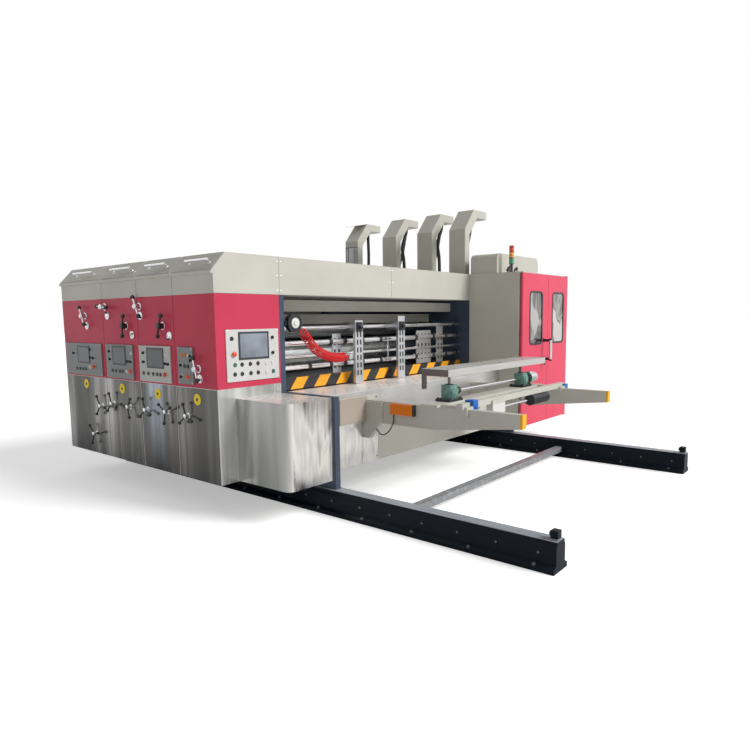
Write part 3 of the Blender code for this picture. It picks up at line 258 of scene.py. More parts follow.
def copies(source, moves):
    """Put a copy of a shape at each move, each with its own mesh, and drop the first."""
    made = []
    for move in moves:
        twin = source.copy()
        twin.data = source.data.copy()
        step = move if isinstance(move, Matrix) else Matrix.Translation(Vector(move))
        twin.data.transform(step)
        bpy.context.scene.collection.objects.link(twin)
        made.append(twin)
    bpy.data.objects.remove(source, do_unlink=True)
    return made


def join(parts):
    """Join shapes into the first one."""
    deselect()
    for part in parts:
        part.select_set(True)
    bpy.context.view_layer.objects.active = parts[0]
    if len(parts) > 1:
        bpy.ops.object.join()
    return parts[0]


def finish_piece(made, name, finish, body):
    """Name a piece, joined if it is a list, give it its finish and tie it to its body."""
    if isinstance(made, list):
        made = join(made)
    made.name = name
    made.data.name = name
    made.data.materials.clear()
    made.data.materials.append(finish)
    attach(made, body)


def frame_body(node):
    """Return the body that carries a node."""
    for body, nodes in frame["record"]["behaviour"]["bodies"].items():
        if node in nodes:
            return body
    raise ValueError(node)


# Tools for making finishes

def add_node(tree, kind, values=None, **options):
    """Add a node with its options and socket values."""
    made = tree.nodes.new(kind)
    for key, value in options.items():
        setattr(made, key, value)
    for key, value in (values or {}).items():
        made.inputs[key].default_value = value
    return made


def start_finish(name, colour, roughness, metallic=0.0, gloss=None, coat=None):
    """Start a finish and return it with its tree and shader. A coat is its weight and roughness."""
    made = bpy.data.materials.new(name)
    made.use_nodes = True
    tree = made.node_tree
    shader = tree.nodes["Principled BSDF"]
    shader.inputs["Base Color"].default_value = (*colour, 1.0)
    shader.inputs["Roughness"].default_value = roughness
    shader.inputs["Metallic"].default_value = metallic
    if gloss is not None:
        shader.inputs["Specular IOR Level"].default_value = gloss
    if coat:
        shader.inputs["Coat Weight"].default_value = coat[0]
        shader.inputs["Coat Roughness"].default_value = coat[1]
    return made, tree, shader


def noise(tree, scale, detail=3.0, stretch=(1.0, 1.0, 1.0), distortion=0.0):
    """Return a noise value laid over the object."""
    source = add_node(tree, "ShaderNodeTexCoord")
    mapping = add_node(tree, "ShaderNodeMapping", {"Scale": stretch})
    made = add_node(tree, "ShaderNodeTexNoise", {
        "Scale": scale, "Detail": detail, "Distortion": distortion})
    tree.links.new(source.outputs["Object"], mapping.inputs["Vector"])
    tree.links.new(mapping.outputs["Vector"], made.inputs["Vector"])
    return made.outputs["Fac"]


def axis_value(tree, axis):
    """Return an object coordinate along one axis."""
    source = add_node(tree, "ShaderNodeTexCoord")
    split = add_node(tree, "ShaderNodeSeparateXYZ")
    tree.links.new(source.outputs["Object"], split.inputs["Vector"])
    return split.outputs[axis]


def compute(tree, operation, first, second=None, third=None):
    """Return the result of one arithmetic step on sockets or numbers."""
    made = add_node(tree, "ShaderNodeMath", operation=operation)
    for socket, value in zip(made.inputs, (first, second, third)):
        if value is None:
            continue
        if isinstance(value, (int, float)):
            socket.default_value = value
        else:
            tree.links.new(value, socket)
    return made.outputs["Value"]


def remap(tree, value, before, after):
    """Return a value moved from one range to another."""
    made = add_node(tree, "ShaderNodeMapRange", {
        "From Min": before[0], "From Max": before[1], "To Min": after[0], "To Max": after[1]})
    tree.links.new(value, made.inputs["Value"])
    return made.outputs["Result"]


def spread(tree, value, low, high):
    """Return a noise value, mostly between 0.3 and 0.7, spread over a new range."""
    return remap(tree, value, (0.3, 0.7), (low, high))


def add_streaks(tree, base, streaks, share):
    """Return a base value with a share of fine streaks laid over it."""
    return compute(tree, "MULTIPLY_ADD", compute(tree, "SUBTRACT", streaks, 0.5), share, base)


def shade(colour, amount):
    """Return a colour made darker or lighter."""
    return tuple(min(1.0, part * amount) for part in colour)


def tones(colour, *stops):
    """Return (place, colour) stops from (place, amount) pairs of one colour."""
    return [(place, shade(colour, amount)) for place, amount in stops]


def blend_colours(tree, value, stops):
    """Return colours that follow a value, from (place, colour) stops."""
    made = add_node(tree, "ShaderNodeValToRGB")
    ramp = made.color_ramp
    while len(ramp.elements) < len(stops):
        ramp.elements.new(0.5)
    for element, (where, colour) in zip(ramp.elements, stops):
        element.position = where
        element.color = (*colour, 1.0)
    tree.links.new(value, made.inputs["Fac"])
    return made.outputs["Color"]


def mix_colours(tree, mask, first, second, blend_type="MIX"):
    """Return the first colour where the mask is 0 and the second where it is 1."""
    made = add_node(tree, "ShaderNodeMix", data_type="RGBA", blend_type=blend_type)
    for socket, value in (("Factor", mask), ("A", first), ("B", second)):
        if isinstance(value, float):
            made.inputs[socket].default_value = value
        elif isinstance(value, tuple):
            made.inputs[socket].default_value = (*value, 1.0)
        else:
            tree.links.new(value, made.inputs[socket])
    return made.outputs["Result"]


def set_colour(tree, shader, value, stops=None):
    """Colour a finish from a colour socket, or from a value and its stops."""
    colours = blend_colours(tree, value, stops) if stops else value
    tree.links.new(colours, shader.inputs["Base Color"])


def set_roughness(tree, shader, value, low, high):
    """Vary a finish's roughness with a noise value."""
    tree.links.new(spread(tree, value, low, high), shader.inputs["Roughness"])


def add_bump(tree, shader, height, strength, distance, before=None):
    """Raise the surface by a height value."""
    made = add_node(tree, "ShaderNodeBump", {"Strength": strength, "Distance": distance})
    tree.links.new(height, made.inputs["Height"])
    if before:
        tree.links.new(before, made.inputs["Normal"])
    tree.links.new(made.outputs["Normal"], shader.inputs["Normal"])
    return made.outputs["Normal"]


# Finishes

def painted(name, colour, roughness=0.42, gloss=0.3, peel=0.15):
    """Sprayed paint with a faint change of tone and the fine waviness of sprayed sheet metal."""
    made, tree, shader = start_finish(name, colour, roughness, gloss=gloss)
    set_colour(tree, shader, noise(tree, 1.7, 4.0), tones(colour, (0.3, 0.93), (0.7, 1.05)))
    set_roughness(tree, shader, noise(tree, 5.0), roughness - 0.02, roughness + 0.03)
    add_bump(tree, shader, noise(tree, 420.0, 1.0), peel, 0.0002)
    return made


def moulded(name, colour, roughness=0.4):
    """Moulded plastic or rubber with a fine grain."""
    made, tree, shader = start_finish(name, colour, roughness)
    set_colour(tree, shader, noise(tree, 30.0), tones(colour, (0.3, 0.85), (0.7, 1.15)))
    add_bump(tree, shader, noise(tree, 900.0, 2.0), 0.2, 0.0002)
    return made


def ribbed_rubber(name, colour, spacing):
    """Corrugated black hose, ribbed along its mostly upright run."""
    made, tree, shader = start_finish(name, colour, 0.5)
    set_colour(tree, shader, noise(tree, 20.0), tones(colour, (0.3, 0.7), (0.7, 1.8)))
    phase = compute(tree, "MULTIPLY", axis_value(tree, "Z"), 2.0 * math.pi / spacing)
    add_bump(tree, shader, compute(tree, "SINE", phase), 0.8, 0.002)
    return made


def turned_metal(name, colour, roughness):
    """Bright round bar with fine rings and faint handling marks."""
    made, tree, shader = start_finish(name, colour, roughness, 1.0)
    marks = noise(tree, 6.0)
    set_colour(tree, shader, marks, tones(colour, (0.3, 0.94), (0.65, 1.03)))
    set_roughness(tree, shader, marks, roughness * 0.95, roughness * 1.25)
    add_bump(tree, shader, noise(tree, 700.0, 1.0, (1.0, 0.1, 0.1)), 0.03, 0.0002)
    return made


def cast_metal(name, colour):
    """Painted casting with a pebbled skin and rubbed high spots."""
    made, tree, shader = start_finish(name, colour, 0.45, 0.1)
    stops = tones(colour, (0.3, 0.75), (0.55, 1.0), (0.72, 1.5))
    set_colour(tree, shader, noise(tree, 24.0, 5.0), stops)
    add_bump(tree, shader, noise(tree, 260.0), 0.35, 0.0008)
    return made


def polished_sheet(name, colour):
    """Polished stainless sheet: long fine streaks over broad cloudy bands."""
    made, tree, shader = start_finish(name, colour, 0.3, 1.0)
    broad = noise(tree, 1.6, 3.0, (1.0, 1.0, 0.25), 1.2)
    fine = noise(tree, 60.0, 4.0, (1.0, 1.0, 0.03))
    stops = tones(colour, (0.30, 0.34), (0.42, 0.62), (0.50, 1.12), (0.58, 0.80), (0.68, 1.30))
    set_colour(tree, shader, add_streaks(tree, broad, fine, 0.35), stops)
    set_roughness(tree, shader, fine, 0.20, 0.36)
    waves = add_bump(tree, shader, broad, 0.25, 0.01)
    add_bump(tree, shader, noise(tree, 240.0, 2.0, (1.0, 1.0, 0.02)), 0.12, 0.0004, waves)
    return made


def brushed_sheet(name, colour, axis, metallic=0.75):
    """Brushed sheet metal with fine lines along X or Z."""
    made, tree, shader = start_finish(name, colour, 0.42, metallic)
    stretch = {"X": (0.02, 1.0, 1.0), "Z": (1.0, 1.0, 0.02)}[axis]
    lines = noise(tree, 180.0, 4.0, stretch)
    mixed = add_streaks(tree, noise(tree, 2.2, 4.0), lines, 0.5)
    set_colour(tree, shader, mixed, tones(colour, (0.3, 0.80), (0.5, 1.0), (0.7, 1.12)))
    set_roughness(tree, shader, lines, 0.34, 0.5)
    add_bump(tree, shader, lines, 0.1, 0.0004)
    return made


def mirror_sheet(name, colour):
    """Polished cover with painted light: dim upright painted reflections, a pale painted reflection
    band, painted shade darkening the foot and a bright front face with a painted highlight.
    """
    made, tree, shader = start_finish(name, colour, 0.26, 1.0)
    bands = noise(tree, 2.6, 2.5, (1.0, 1.0, 0.10), 0.6)
    fine = noise(tree, 34.0, 4.0, (1.0, 1.0, 0.02))
    mixed = add_streaks(tree, bands, fine, 0.16)
    # Painted reflections: dim upright streaks laid into the cover's colour.
    dim = blend_colours(tree, mixed, tones(
        colour, (0.30, 0.50), (0.44, 0.85), (0.53, 1.15), (0.60, 1.9), (0.66, 3.4), (0.74, 1.5)))
    # Painted shade: the colour darkens towards the cover's foot.
    height = remap(tree, axis_value(tree, "Z"), (0.27, 1.0), (0.0, 1.0))
    painted_foot_shade = blend_colours(tree, height, ((0.0, (0.62, 0.62, 0.64)), (0.55, WHITE[:3])))
    dim = mix_colours(tree, 1.0, dim, painted_foot_shade, "MULTIPLY")
    # Painted reflection: a pale bluish band along the cover.
    offset = compute(tree, "SUBTRACT", axis_value(tree, "Y"), at(0.0, PAINTED_REFLECTION_BAND, 0.0).y)
    band = remap(tree, compute(tree, "ABSOLUTE", offset), (0.06, 0.17), (0.9, 0.0))
    share = compute(tree, "MULTIPLY", band, height)
    share = compute(tree, "MULTIPLY", share, spread(tree, fine, 0.5, 1.1))
    dim = mix_colours(tree, share, dim, (0.46, 0.52, 0.60))
    # Painted highlight: the narrow front face is painted bright and less metallic.
    bright = blend_colours(tree, mixed, (
        (0.35, (0.30, 0.31, 0.29)), (0.55, (0.62, 0.63, 0.60)), (0.7, (0.80, 0.78, 0.77))))
    front = compute(tree, "LESS_THAN", axis_value(tree, "Y"), at(0.0, COVER_FRONT, 0.0).y)
    set_colour(tree, shader, mix_colours(tree, front, dim, bright))
    tree.links.new(compute(tree, "MULTIPLY_ADD", front, -0.5, 1.0), shader.inputs["Metallic"])
    set_roughness(tree, shader, fine, 0.20, 0.30)
    waves = add_bump(tree, shader, bands, 0.3, 0.006)
    add_bump(tree, shader, fine, 0.08, 0.0004, waves)
    return made


def guard_mirror(name, colour):
    """Polished guard with painted light: a bright front with painted streaked reflections, a dim
    operator side in painted shade and a pale top with a painted reflection.
    """
    made, tree, shader = start_finish(name, colour, 0.22, 1.0)
    # Painted reflections: bright streaks and sweeps across the front.
    sweep = noise(tree, 2.0, 2.0, (1.0, 1.0, 0.35), 1.6)
    streaks = noise(tree, 26.0, 4.0, (1.0, 1.0, 0.05), 0.3)
    bright = blend_colours(tree, add_streaks(tree, sweep, streaks, 0.45), tones(
        colour, (0.28, 0.35), (0.38, 0.95), (0.48, 1.45), (0.58, 1.15), (0.68, 1.55)))
    soft = noise(tree, 2.8, 2.0, (1.0, 1.0, 0.12), 0.5)
    # Painted shade: the operator side is painted dim.
    dim = blend_colours(tree, soft, (
        (0.32, (0.17, 0.18, 0.17)), (0.46, (0.30, 0.31, 0.30)), (0.58, (0.58, 0.58, 0.57)),
        (0.70, (0.24, 0.24, 0.24))))
    turn = [at(x, 0.0, 0.0).x for x in GUARD_TURN]
    faces = mix_colours(tree, remap(tree, axis_value(tree, "X"), turn, (0.0, 1.0)), dim, bright)
    # Painted reflection: the top is painted pale and less metallic.
    top = compute(tree, "GREATER_THAN", axis_value(tree, "Z"), GUARD_TOP)
    pale = blend_colours(tree, soft, tones(colour, (0.3, 1.0), (0.7, 1.4)))
    set_colour(tree, shader, mix_colours(tree, top, faces, pale))
    tree.links.new(compute(tree, "MULTIPLY_ADD", top, -0.75, 1.0), shader.inputs["Metallic"])
    set_roughness(tree, shader, streaks, 0.18, 0.30)
    waves = add_bump(tree, shader, sweep, 0.35, 0.01)
    add_bump(tree, shader, streaks, 0.08, 0.0004, waves)
    return made


def rail_paint(name, colour):
    """Dark rail paint with a rubbed, machined head."""
    made, tree, shader = start_finish(name, colour, 0.42, gloss=0.12)
    tone = noise(tree, 6.0, 5.0)
    paint = blend_colours(tree, tone, tones(colour, (0.3, 0.8), (0.65, 1.2), (0.78, 1.8)))
    head = compute(tree, "COMPARE", axis_value(tree, "Z"), *RAIL_HEAD)
    lines = noise(tree, 90.0, 4.0, (1.0, 0.02, 1.0))
    steel = blend_colours(tree, lines, ((0.3, (0.22, 0.24, 0.27)), (0.7, (0.42, 0.45, 0.50))))
    set_colour(tree, shader, mix_colours(tree, head, paint, steel))
    set_roughness(tree, shader, tone, 0.36, 0.5)
    add_bump(tree, shader, noise(tree, 300.0, 2.0), 0.3, 0.0003)
    return made


def framed_ties(name, navy, beige):
    """Navy side plates with beige beams between them."""
    made, tree, shader = start_finish(name, navy, 0.4, gloss=0.3)
    tone = noise(tree, 3.0, 4.0)
    plates = blend_colours(tree, tone, tones(navy, (0.3, 0.85), (0.7, 1.2)))
    beams = blend_colours(tree, tone, tones(beige, (0.3, 0.92), (0.7, 1.05)))
    aside = compute(tree, "SUBTRACT", axis_value(tree, "X"), at(sum(MOUTH) / 2.0, 0.0, 0.0).x)
    inside = compute(tree, "LESS_THAN", compute(tree, "ABSOLUTE", aside), TIE_REACH)
    set_colour(tree, shader, mix_colours(tree, inside, plates, beams))
    add_bump(tree, shader, noise(tree, 420.0, 1.0), 0.2, 0.0002)
    return made


def bar_finish(name, colour):
    """Pale bar whose operator end and underside are painted dark as painted shade."""
    made, tree, shader = start_finish(name, colour, 0.4, 0.3)
    lines = noise(tree, 160.0, 3.0, (0.02, 1.0, 1.0))
    tone = blend_colours(tree, lines, tones(colour, (0.3, 0.86), (0.7, 1.08)))
    # Painted shade: the operator end and the underside are painted dark.
    end = compute(tree, "LESS_THAN", axis_value(tree, "X"), at(BAR_SHADED_END, 0.0, 0.0).x)
    foot = compute(tree, "LESS_THAN", axis_value(tree, "Z"), BAR_UNDERSIDE)
    dark = compute(tree, "MAXIMUM", end, foot)
    set_colour(tree, shader, mix_colours(tree, dark, tone, (0.17, 0.15, 0.135)))
    set_roughness(tree, shader, lines, 0.32, 0.46)
    return made


def hazard_stripes(name, yellow, black, width):
    """Slanted yellow and black stripes across the guard."""
    made, tree, shader = start_finish(name, yellow, 0.42)
    height = axis_value(tree, "Z")
    leaned = compute(tree, "MULTIPLY_ADD", height, -STRIPE_LEAN, axis_value(tree, "X"))
    started = compute(tree, "ADD", leaned, STRIPE_START)
    turns = compute(tree, "FRACT", compute(tree, "DIVIDE", started, width * 2.0))
    mask = compute(tree, "GREATER_THAN", turns, 0.5)
    scuffs = noise(tree, 40.0, 6.0)
    worn = blend_colours(tree, scuffs, tones(yellow, (0.3, 0.8), (0.6, 1.0)))
    set_colour(tree, shader, mix_colours(tree, mask, worn, black))
    set_roughness(tree, shader, scuffs, 0.35, 0.55)
    return made


def screen_glass(name, colour):
    """Dark display glass with a faint glow of tone across it."""
    made, tree, shader = start_finish(name, colour, 0.12, coat=(0.6, 0.04))
    set_colour(tree, shader, noise(tree, 5.0, 2.0), tones(colour, (0.3, 0.75), (0.7, 1.35)))
    return made


def window_glass(name, dark, middle, pale):
    """Tinted window with dim and pale shapes of painted reflection across it."""
    made, tree, shader = start_finish(name, dark, 0.06, coat=(0.8, 0.03))
    # Painted reflections: dark, middle and pale patches laid across the glass.
    stops = ((0.42, dark), (0.50, middle), (0.53, dark), (0.58, pale))
    set_colour(tree, shader, noise(tree, 3.4, 1.5, (1.0, 1.0, 0.6), 0.4), stops)
    return made


def lamp_lens(name, colour):
    """Clear coloured lens with fine prisms."""
    made, tree, shader = start_finish(name, colour, 0.18, coat=(0.7, 0.03))
    rings = compute(tree, "SINE", compute(tree, "MULTIPLY", axis_value(tree, "Z"), 900.0))
    add_bump(tree, shader, rings, 0.5, 0.0006)
    set_colour(tree, shader, noise(tree, 30.0, 2.0), tones(colour, (0.3, 0.8), (0.7, 1.2)))
    return made


# Places where a finish changes on its node
# Lower covers: how far along the pale painted reflection band is, and where the front face with its
# painted highlight ends
PAINTED_REFLECTION_BAND = 0.915
COVER_FRONT = 0.0035
# Feeder guard: where its side in painted shade turns into its front with painted reflections, and
# the height of its top with its painted reflection
GUARD_TURN = (0.172, 0.215)
GUARD_TOP = 0.9495
# Rails: height of the head's middle and half its depth
RAIL_HEAD = (0.202, 0.0045)
# Frames: half the distance between the side plates
TIE_REACH = 1.4992
# Lifting bar: the place across up to which its operator end is painted in shade, and the height of
# its underside, also painted in shade
BAR_SHADED_END = 1.5015
BAR_UNDERSIDE = 1.0745
# Hazard stripes: shift per height, and the first stripe's start
STRIPE_LEAN = 0.785
STRIPE_START = -0.0136


class SlotterSettings(bpy.types.PropertyGroup):
    """Sizes and colours of the finish."""

    beige: bpy.props.FloatVectorProperty(
        name="Beige", description="Paint of hoods, ducts and cabinet", subtype="COLOR", size=3,
        default=(0.56, 0.55, 0.485), min=0.0, max=1.0)
    red: bpy.props.FloatVectorProperty(
        name="Red", description="Paint of the operator housings and doors", subtype="COLOR", size=3,
        default=(0.57, 0.052, 0.098), min=0.0, max=1.0)
    navy: bpy.props.FloatVectorProperty(
        name="Navy", description="Paint of the frame plates", subtype="COLOR", size=3,
        default=(0.05, 0.072, 0.11), min=0.0, max=1.0)
    steel: bpy.props.FloatVectorProperty(
        name="Steel", description="Tone of the polished sheet", subtype="COLOR", size=3,
        default=(0.55, 0.54, 0.53), min=0.0, max=1.0)
    yellow: bpy.props.FloatVectorProperty(
        name="Yellow", description="Yellow of the stripes", subtype="COLOR", size=3,
        default=(0.93, 0.40, 0.01), min=0.0, max=1.0)
    black: bpy.props.FloatVectorProperty(
        name="Black", description="Black of knobs and stripes", subtype="COLOR", size=3,
        default=(0.015, 0.015, 0.018), min=0.0, max=1.0)
    floor: bpy.props.FloatVectorProperty(
        name="Floor", description="Colour of the studio floor", subtype="COLOR", size=3,
        default=(0.92, 0.92, 0.92), min=0.0, max=1.0)
    stripe: bpy.props.FloatProperty(
        name="Stripe", description="Width of one hazard stripe", default=0.1475, unit="LENGTH")
    coil_radius: bpy.props.FloatProperty(
        name="Coil radius", description="Radius of the air hose's turns at the hose's middle",
        default=0.0385, unit="LENGTH")
    air_hose_width: bpy.props.FloatProperty(
        name="Air hose width", description="Diameter of the air hose", default=0.010,
        unit="LENGTH")
    duct_hose_width: bpy.props.FloatProperty(
        name="Duct hose width", description="Diameter of the hoses at the ducts", default=0.044,
        unit="LENGTH")
    cable_width: bpy.props.FloatProperty(
        name="Cable width", description="Diameter of the sensor's cable", default=0.010,
        unit="LENGTH")


def chosen(name):
    """Return one of the finish's sizes or colours."""
    value = getattr(bpy.context.scene.slotter, name)
    return value if isinstance(value, float) else tuple(value)


# Stage

class SLOTTER_OT_stage(bpy.types.Operator):
    """Add the floor, the lamps, the surroundings and the camera."""

    bl_idname = "slotter.stage"
    bl_label = "Stage and camera"

    def execute(self, context):
        add_camera()
        add_floor()
        add_lamps()
        return {"FINISHED"}


def add_camera():
    """Set the camera where the picture was taken from."""
    deselect()
    bpy.ops.object.camera_add()
    camera = bpy.context.object
    yaw, pitch, roll = (math.radians(a) for a in (CAMERA_YAW, CAMERA_PITCH, CAMERA_ROLL))
    level = math.cos(pitch)
    ahead = Vector((math.sin(yaw) * level, math.cos(yaw) * level, -math.sin(pitch)))
    right = ahead.cross(Vector(UP)).normalized()
    up = right.cross(ahead)
    across = right * math.cos(roll) + up * math.sin(roll)
    upright = up * math.cos(roll) - right * math.sin(roll)
    turn = Matrix((across, upright, -ahead)).transposed().to_4x4()
    camera.matrix_world = Matrix.Translation(at(*CAMERA_PLACE)) @ turn
    camera.data.sensor_width = SENSOR
    camera.data.lens = FOCAL_PIXELS / PICTURE * SENSOR
    camera.data.shift_x = (PICTURE / 2.0 - LENS_CENTRE[0]) / PICTURE
    camera.data.shift_y = (LENS_CENTRE[1] - PICTURE / 2.0) / PICTURE
    camera.data.clip_end = CAMERA_REACH
    bpy.context.scene.camera = camera


def add_floor():
    """Add the wide pale floor, seen as near white by the camera and kept dull for its shadow."""
    deselect()
    bpy.ops.mesh.primitive_plane_add(size=FLOOR_SIZE)
    floor = bpy.context.object
    bpy.ops.object.mode_set(mode="EDIT")
    bpy.ops.mesh.subdivide(number_cuts=4)
    bpy.ops.object.mode_set(mode="OBJECT")
    floor.name = "studio_floor"
    finish, tree, shader = start_finish("studio_floor", chosen("floor"), 0.7, gloss=0.15)
    glow = add_node(tree, "ShaderNodeEmission", {"Color": WHITE})
    path = add_node(tree, "ShaderNodeLightPath")
    strength = compute(tree, "MULTIPLY", path.outputs["Is Camera Ray"], FLOOR_GLOW)
    tree.links.new(strength, glow.inputs["Strength"])
    both = add_node(tree, "ShaderNodeAddShader")
    tree.links.new(shader.outputs["BSDF"], both.inputs[0])
    tree.links.new(glow.outputs["Emission"], both.inputs[1])
    tree.links.new(both.outputs["Shader"], tree.nodes["Material Output"].inputs["Surface"])
    floor.data.materials.append(finish)


def add_lamps():
    """Add a soft key lamp from the feed end and the pale surroundings."""
    deselect()
    bpy.ops.object.light_add(type="SUN")
    key = bpy.context.object
    key.name = "key_lamp"
    key.data.energy = KEY_ENERGY
    key.data.angle = math.radians(KEY_SPREAD)
    key.rotation_euler = Vector(KEY_WAY).to_track_quat("-Z", "Y").to_euler()
    world = bpy.data.worlds.new("studio")
    bpy.context.scene.world = world
    world.use_nodes = True
    tree = world.node_tree
    light = tree.nodes["Background"]
    light.inputs["Color"].default_value = WHITE
    light.inputs["Strength"].default_value = SURROUND_LIGHT
    seen = add_node(tree, "ShaderNodeBackground", {"Color": WHITE, "Strength": 1.0})
    path = add_node(tree, "ShaderNodeLightPath")
    rays = path.outputs["Is Camera Ray"]
    for kind in ("Is Glossy Ray", "Is Transmission Ray"):
        rays = compute(tree, "MAXIMUM", rays, path.outputs[kind])
    mix = add_node(tree, "ShaderNodeMixShader")
    tree.links.new(rays, mix.inputs["Fac"])
    tree.links.new(light.outputs["Background"], mix.inputs[1])
    tree.links.new(seen.outputs["Background"], mix.inputs[2])
    tree.links.new(mix.outputs["Shader"], tree.nodes["World Output"].inputs["Surface"])
    bpy.context.scene.view_settings.view_transform = "Standard"


# Cords

CABLE_X = 1.265
# The sensor cable's (along, height) points, from the sensor box to the gusset's slanted edge
CABLE_POINTS = (
    (-0.738, 0.7497), (-0.738, 0.7197), (-0.738, 0.6897), (-0.722, 0.648), (-0.691, 0.600),
    (-0.645, 0.563), (-0.59261, 0.55474), (-0.56588, 0.57737), (-0.53941, 0.59981))
# The air hose's middle line: the reel, the reel's edge, the free points and the port
REEL = (0.80, 1.545)
REEL_EDGE_ANGLE = -40.0
REEL_EDGE_RADIUS = 0.0823
AIR_HOSE_Y = -0.005
AIR_HOSE_POINTS = ((1.03, 1.325), (1.13, 1.265), (1.25, 1.225), (1.37, 1.213))
AIR_PORT = (1.4697, 1.215)
# Length over which the coil opens and closes, and its pitch at the reel and at the port
COIL_LEAD = 0.05
COIL_PITCH = (0.030, 0.016)
COIL_STEPS = 5
CURVE_STEPS = 24
# Gap between a cord's end and the piece that it meets
CORD_GAP = 0.0003
# Depth of a duct's nose, and distance of a pair of hoses from its middle
NOSE_DEPTH = 0.10
HOSE_ASIDE = 0.05
HOSE_BLACK = (0.012, 0.012, 0.013)
HOSE_RED = (0.80, 0.012, 0.015)


def smooth_route(points, spacing):
    """Return evenly spread points on one smooth curve through the given points."""
    knots = [Vector(p) for p in points]
    padded = [2.0 * knots[0] - knots[1]] + knots + [2.0 * knots[-1] - knots[-2]]
    fine = []
    for i in range(1, len(padded) - 2):
        a, b, c, d = padded[i - 1:i + 3]
        for step in range(CURVE_STEPS):
            t = step / CURVE_STEPS
            fine.append(0.5 * (
                2.0 * b + (c - a) * t + (2.0 * a - 5.0 * b + 4.0 * c - d) * t * t
                + (3.0 * b - a - 3.0 * c + d) * t * t * t))
    fine.append(knots[-1])
    length = route_length(fine)
    pieces = max(4, round(length / spacing))
    route = [fine[0]]
    travelled = 0.0
    target = length / pieces
    for p, q in zip(fine, fine[1:]):
        step = (q - p).length
        while travelled + step >= target - 1e-9 and len(route) < pieces:
            route.append(p.lerp(q, (target - travelled) / step))
            target += length / pieces
        travelled += step
    route.append(fine[-1])
    return route


def route_length(points):
    """Return the length of a run of points."""
    return sum((q - p).length for p, q in zip(points, points[1:]))


def add_cord(name, route, width, finish, resolution=4):
    curve = bpy.data.curves.new(name, "CURVE")
    curve.dimensions = "3D"
    curve.bevel_depth = width / 2.0
    curve.bevel_resolution = resolution
    curve.use_fill_caps = True
    spline = curve.splines.new("POLY")
    spline.points.add(len(route) - 1)
    for point, where in zip(spline.points, route):
        point.co = (*where, 1.0)
    spline.use_smooth = True
    made = bpy.data.objects.new(f"{name}_run", curve)
    bpy.context.scene.collection.objects.link(made)
    curve.materials.append(finish)
    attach(made, frame_body(name))
    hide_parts(name)


def duct_hose_routes(unit):
    """Return the routes of one duct's hoses, from the nose's underside to the roof."""
    low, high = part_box(f"{unit}_duct")
    middle = (low.y + high.y) / 2.0
    under = high.z - NOSE_DEPTH - CORD_GAP
    base = ROOF + CORD_GAP
    if unit == "feeder":
        runs = ((0.0, ((0.33, under), (0.325, under - 0.08), (0.27, 2.56), (0.20, 2.40),
                       (0.18, 2.25), (0.18, base))),)
    elif unit == "die_cutter":
        runs = ((0.0, ((0.36, under), (0.365, 2.70), (0.372, 2.50), (0.365, 2.30),
                       (0.36, base))),)
    else:
        runs = (
            (-HOSE_ASIDE, ((0.32, under), (0.315, 2.74), (0.23, 2.55), (0.26, 2.38),
                           (0.27, 2.24), (0.27, base))),
            (HOSE_ASIDE, ((0.42, under), (0.42, 2.70), (0.36, 2.48), (0.28, 2.30),
                          (0.22, 2.20), (0.21, base))))
    return [[(low.x + x, middle + aside, z) for x, z in run] for aside, run in runs]


class SLOTTER_OT_cords(bpy.types.Operator):
    """Add the duct hoses, the curly air hose and the sensor's cable."""

    bl_idname = "slotter.cords"
    bl_label = "Hoses and cable"

    def execute(self, context):
        rubber = ribbed_rubber("duct_hose_rubber", HOSE_BLACK, 0.011)
        for unit in UNITS:
            for index, points in enumerate(duct_hose_routes(unit)):
                add_cord(f"{unit}_duct_hose_{index + 1}", smooth_route(points, 0.02),
                         chosen("duct_hose_width"), rubber)
        cable = moulded("cable_rubber", HOSE_BLACK, 0.45)
        route = smooth_route([at(CABLE_X, y, z) for y, z in CABLE_POINTS], 0.01)
        add_cord("sensor_cable", route, chosen("cable_width"), cable)
        hose = moulded("air_hose_red", HOSE_RED, 0.28)
        add_cord("air_hose", air_hose_turns(), chosen("air_hose_width"), hose, 3)
        return {"FINISHED"}


def air_hose_middle():
    """Return the line that the curly air hose winds about, from its reel to the air port."""
    rim = math.radians(REEL_EDGE_ANGLE)
    away = Vector((math.cos(rim), 0.0, math.sin(rim)))
    start = at(REEL[0], AIR_HOSE_Y, REEL[1]) + away * REEL_EDGE_RADIUS
    end = at(AIR_PORT[0], AIR_HOSE_Y, AIR_PORT[1])
    points = [start, start + away * 0.03, start + away * 0.08]
    points += [at(x, AIR_HOSE_Y, z) for x, z in AIR_HOSE_POINTS]
    points += [end - Vector((0.04, 0.0, 0.0)), end]
    return smooth_route(points, 0.002)


def air_hose_turns():
    """Wind the air hose about its middle line: wide apart near the reel, close at the port."""
    middle = air_hose_middle()
    count = len(middle) - 1
    across = Vector((0.0, 1.0, 0.0))
    total = route_length(middle)
    route = [middle[0].copy()]
    angle = 0.0
    travelled = 0.0
    for i in range(1, count + 1):
        before, point = middle[i - 1], middle[i]
        along = (middle[min(count, i + 1)] - before).normalized()
        upward = along.cross(across).normalized()
        closed = min(1.0, travelled / total * 1.6)
        pitch = COIL_PITCH[0] - (COIL_PITCH[0] - COIL_PITCH[1]) * closed
        grown = min(1.0, travelled / COIL_LEAD, (total - travelled) / COIL_LEAD)
        radius = chosen("coil_radius") * (0.5 - 0.5 * math.cos(math.pi * grown))
        step = (point - before).length
        for part in range(1, COIL_STEPS + 1):
            angle += 2.0 * math.pi * step / pitch / COIL_STEPS
            centre = before.lerp(point, part / COIL_STEPS)
            round_it = across * math.cos(angle) + upward * math.sin(angle)
            route.append(centre + round_it * radius)
        travelled += step
    return route


# Operator panels

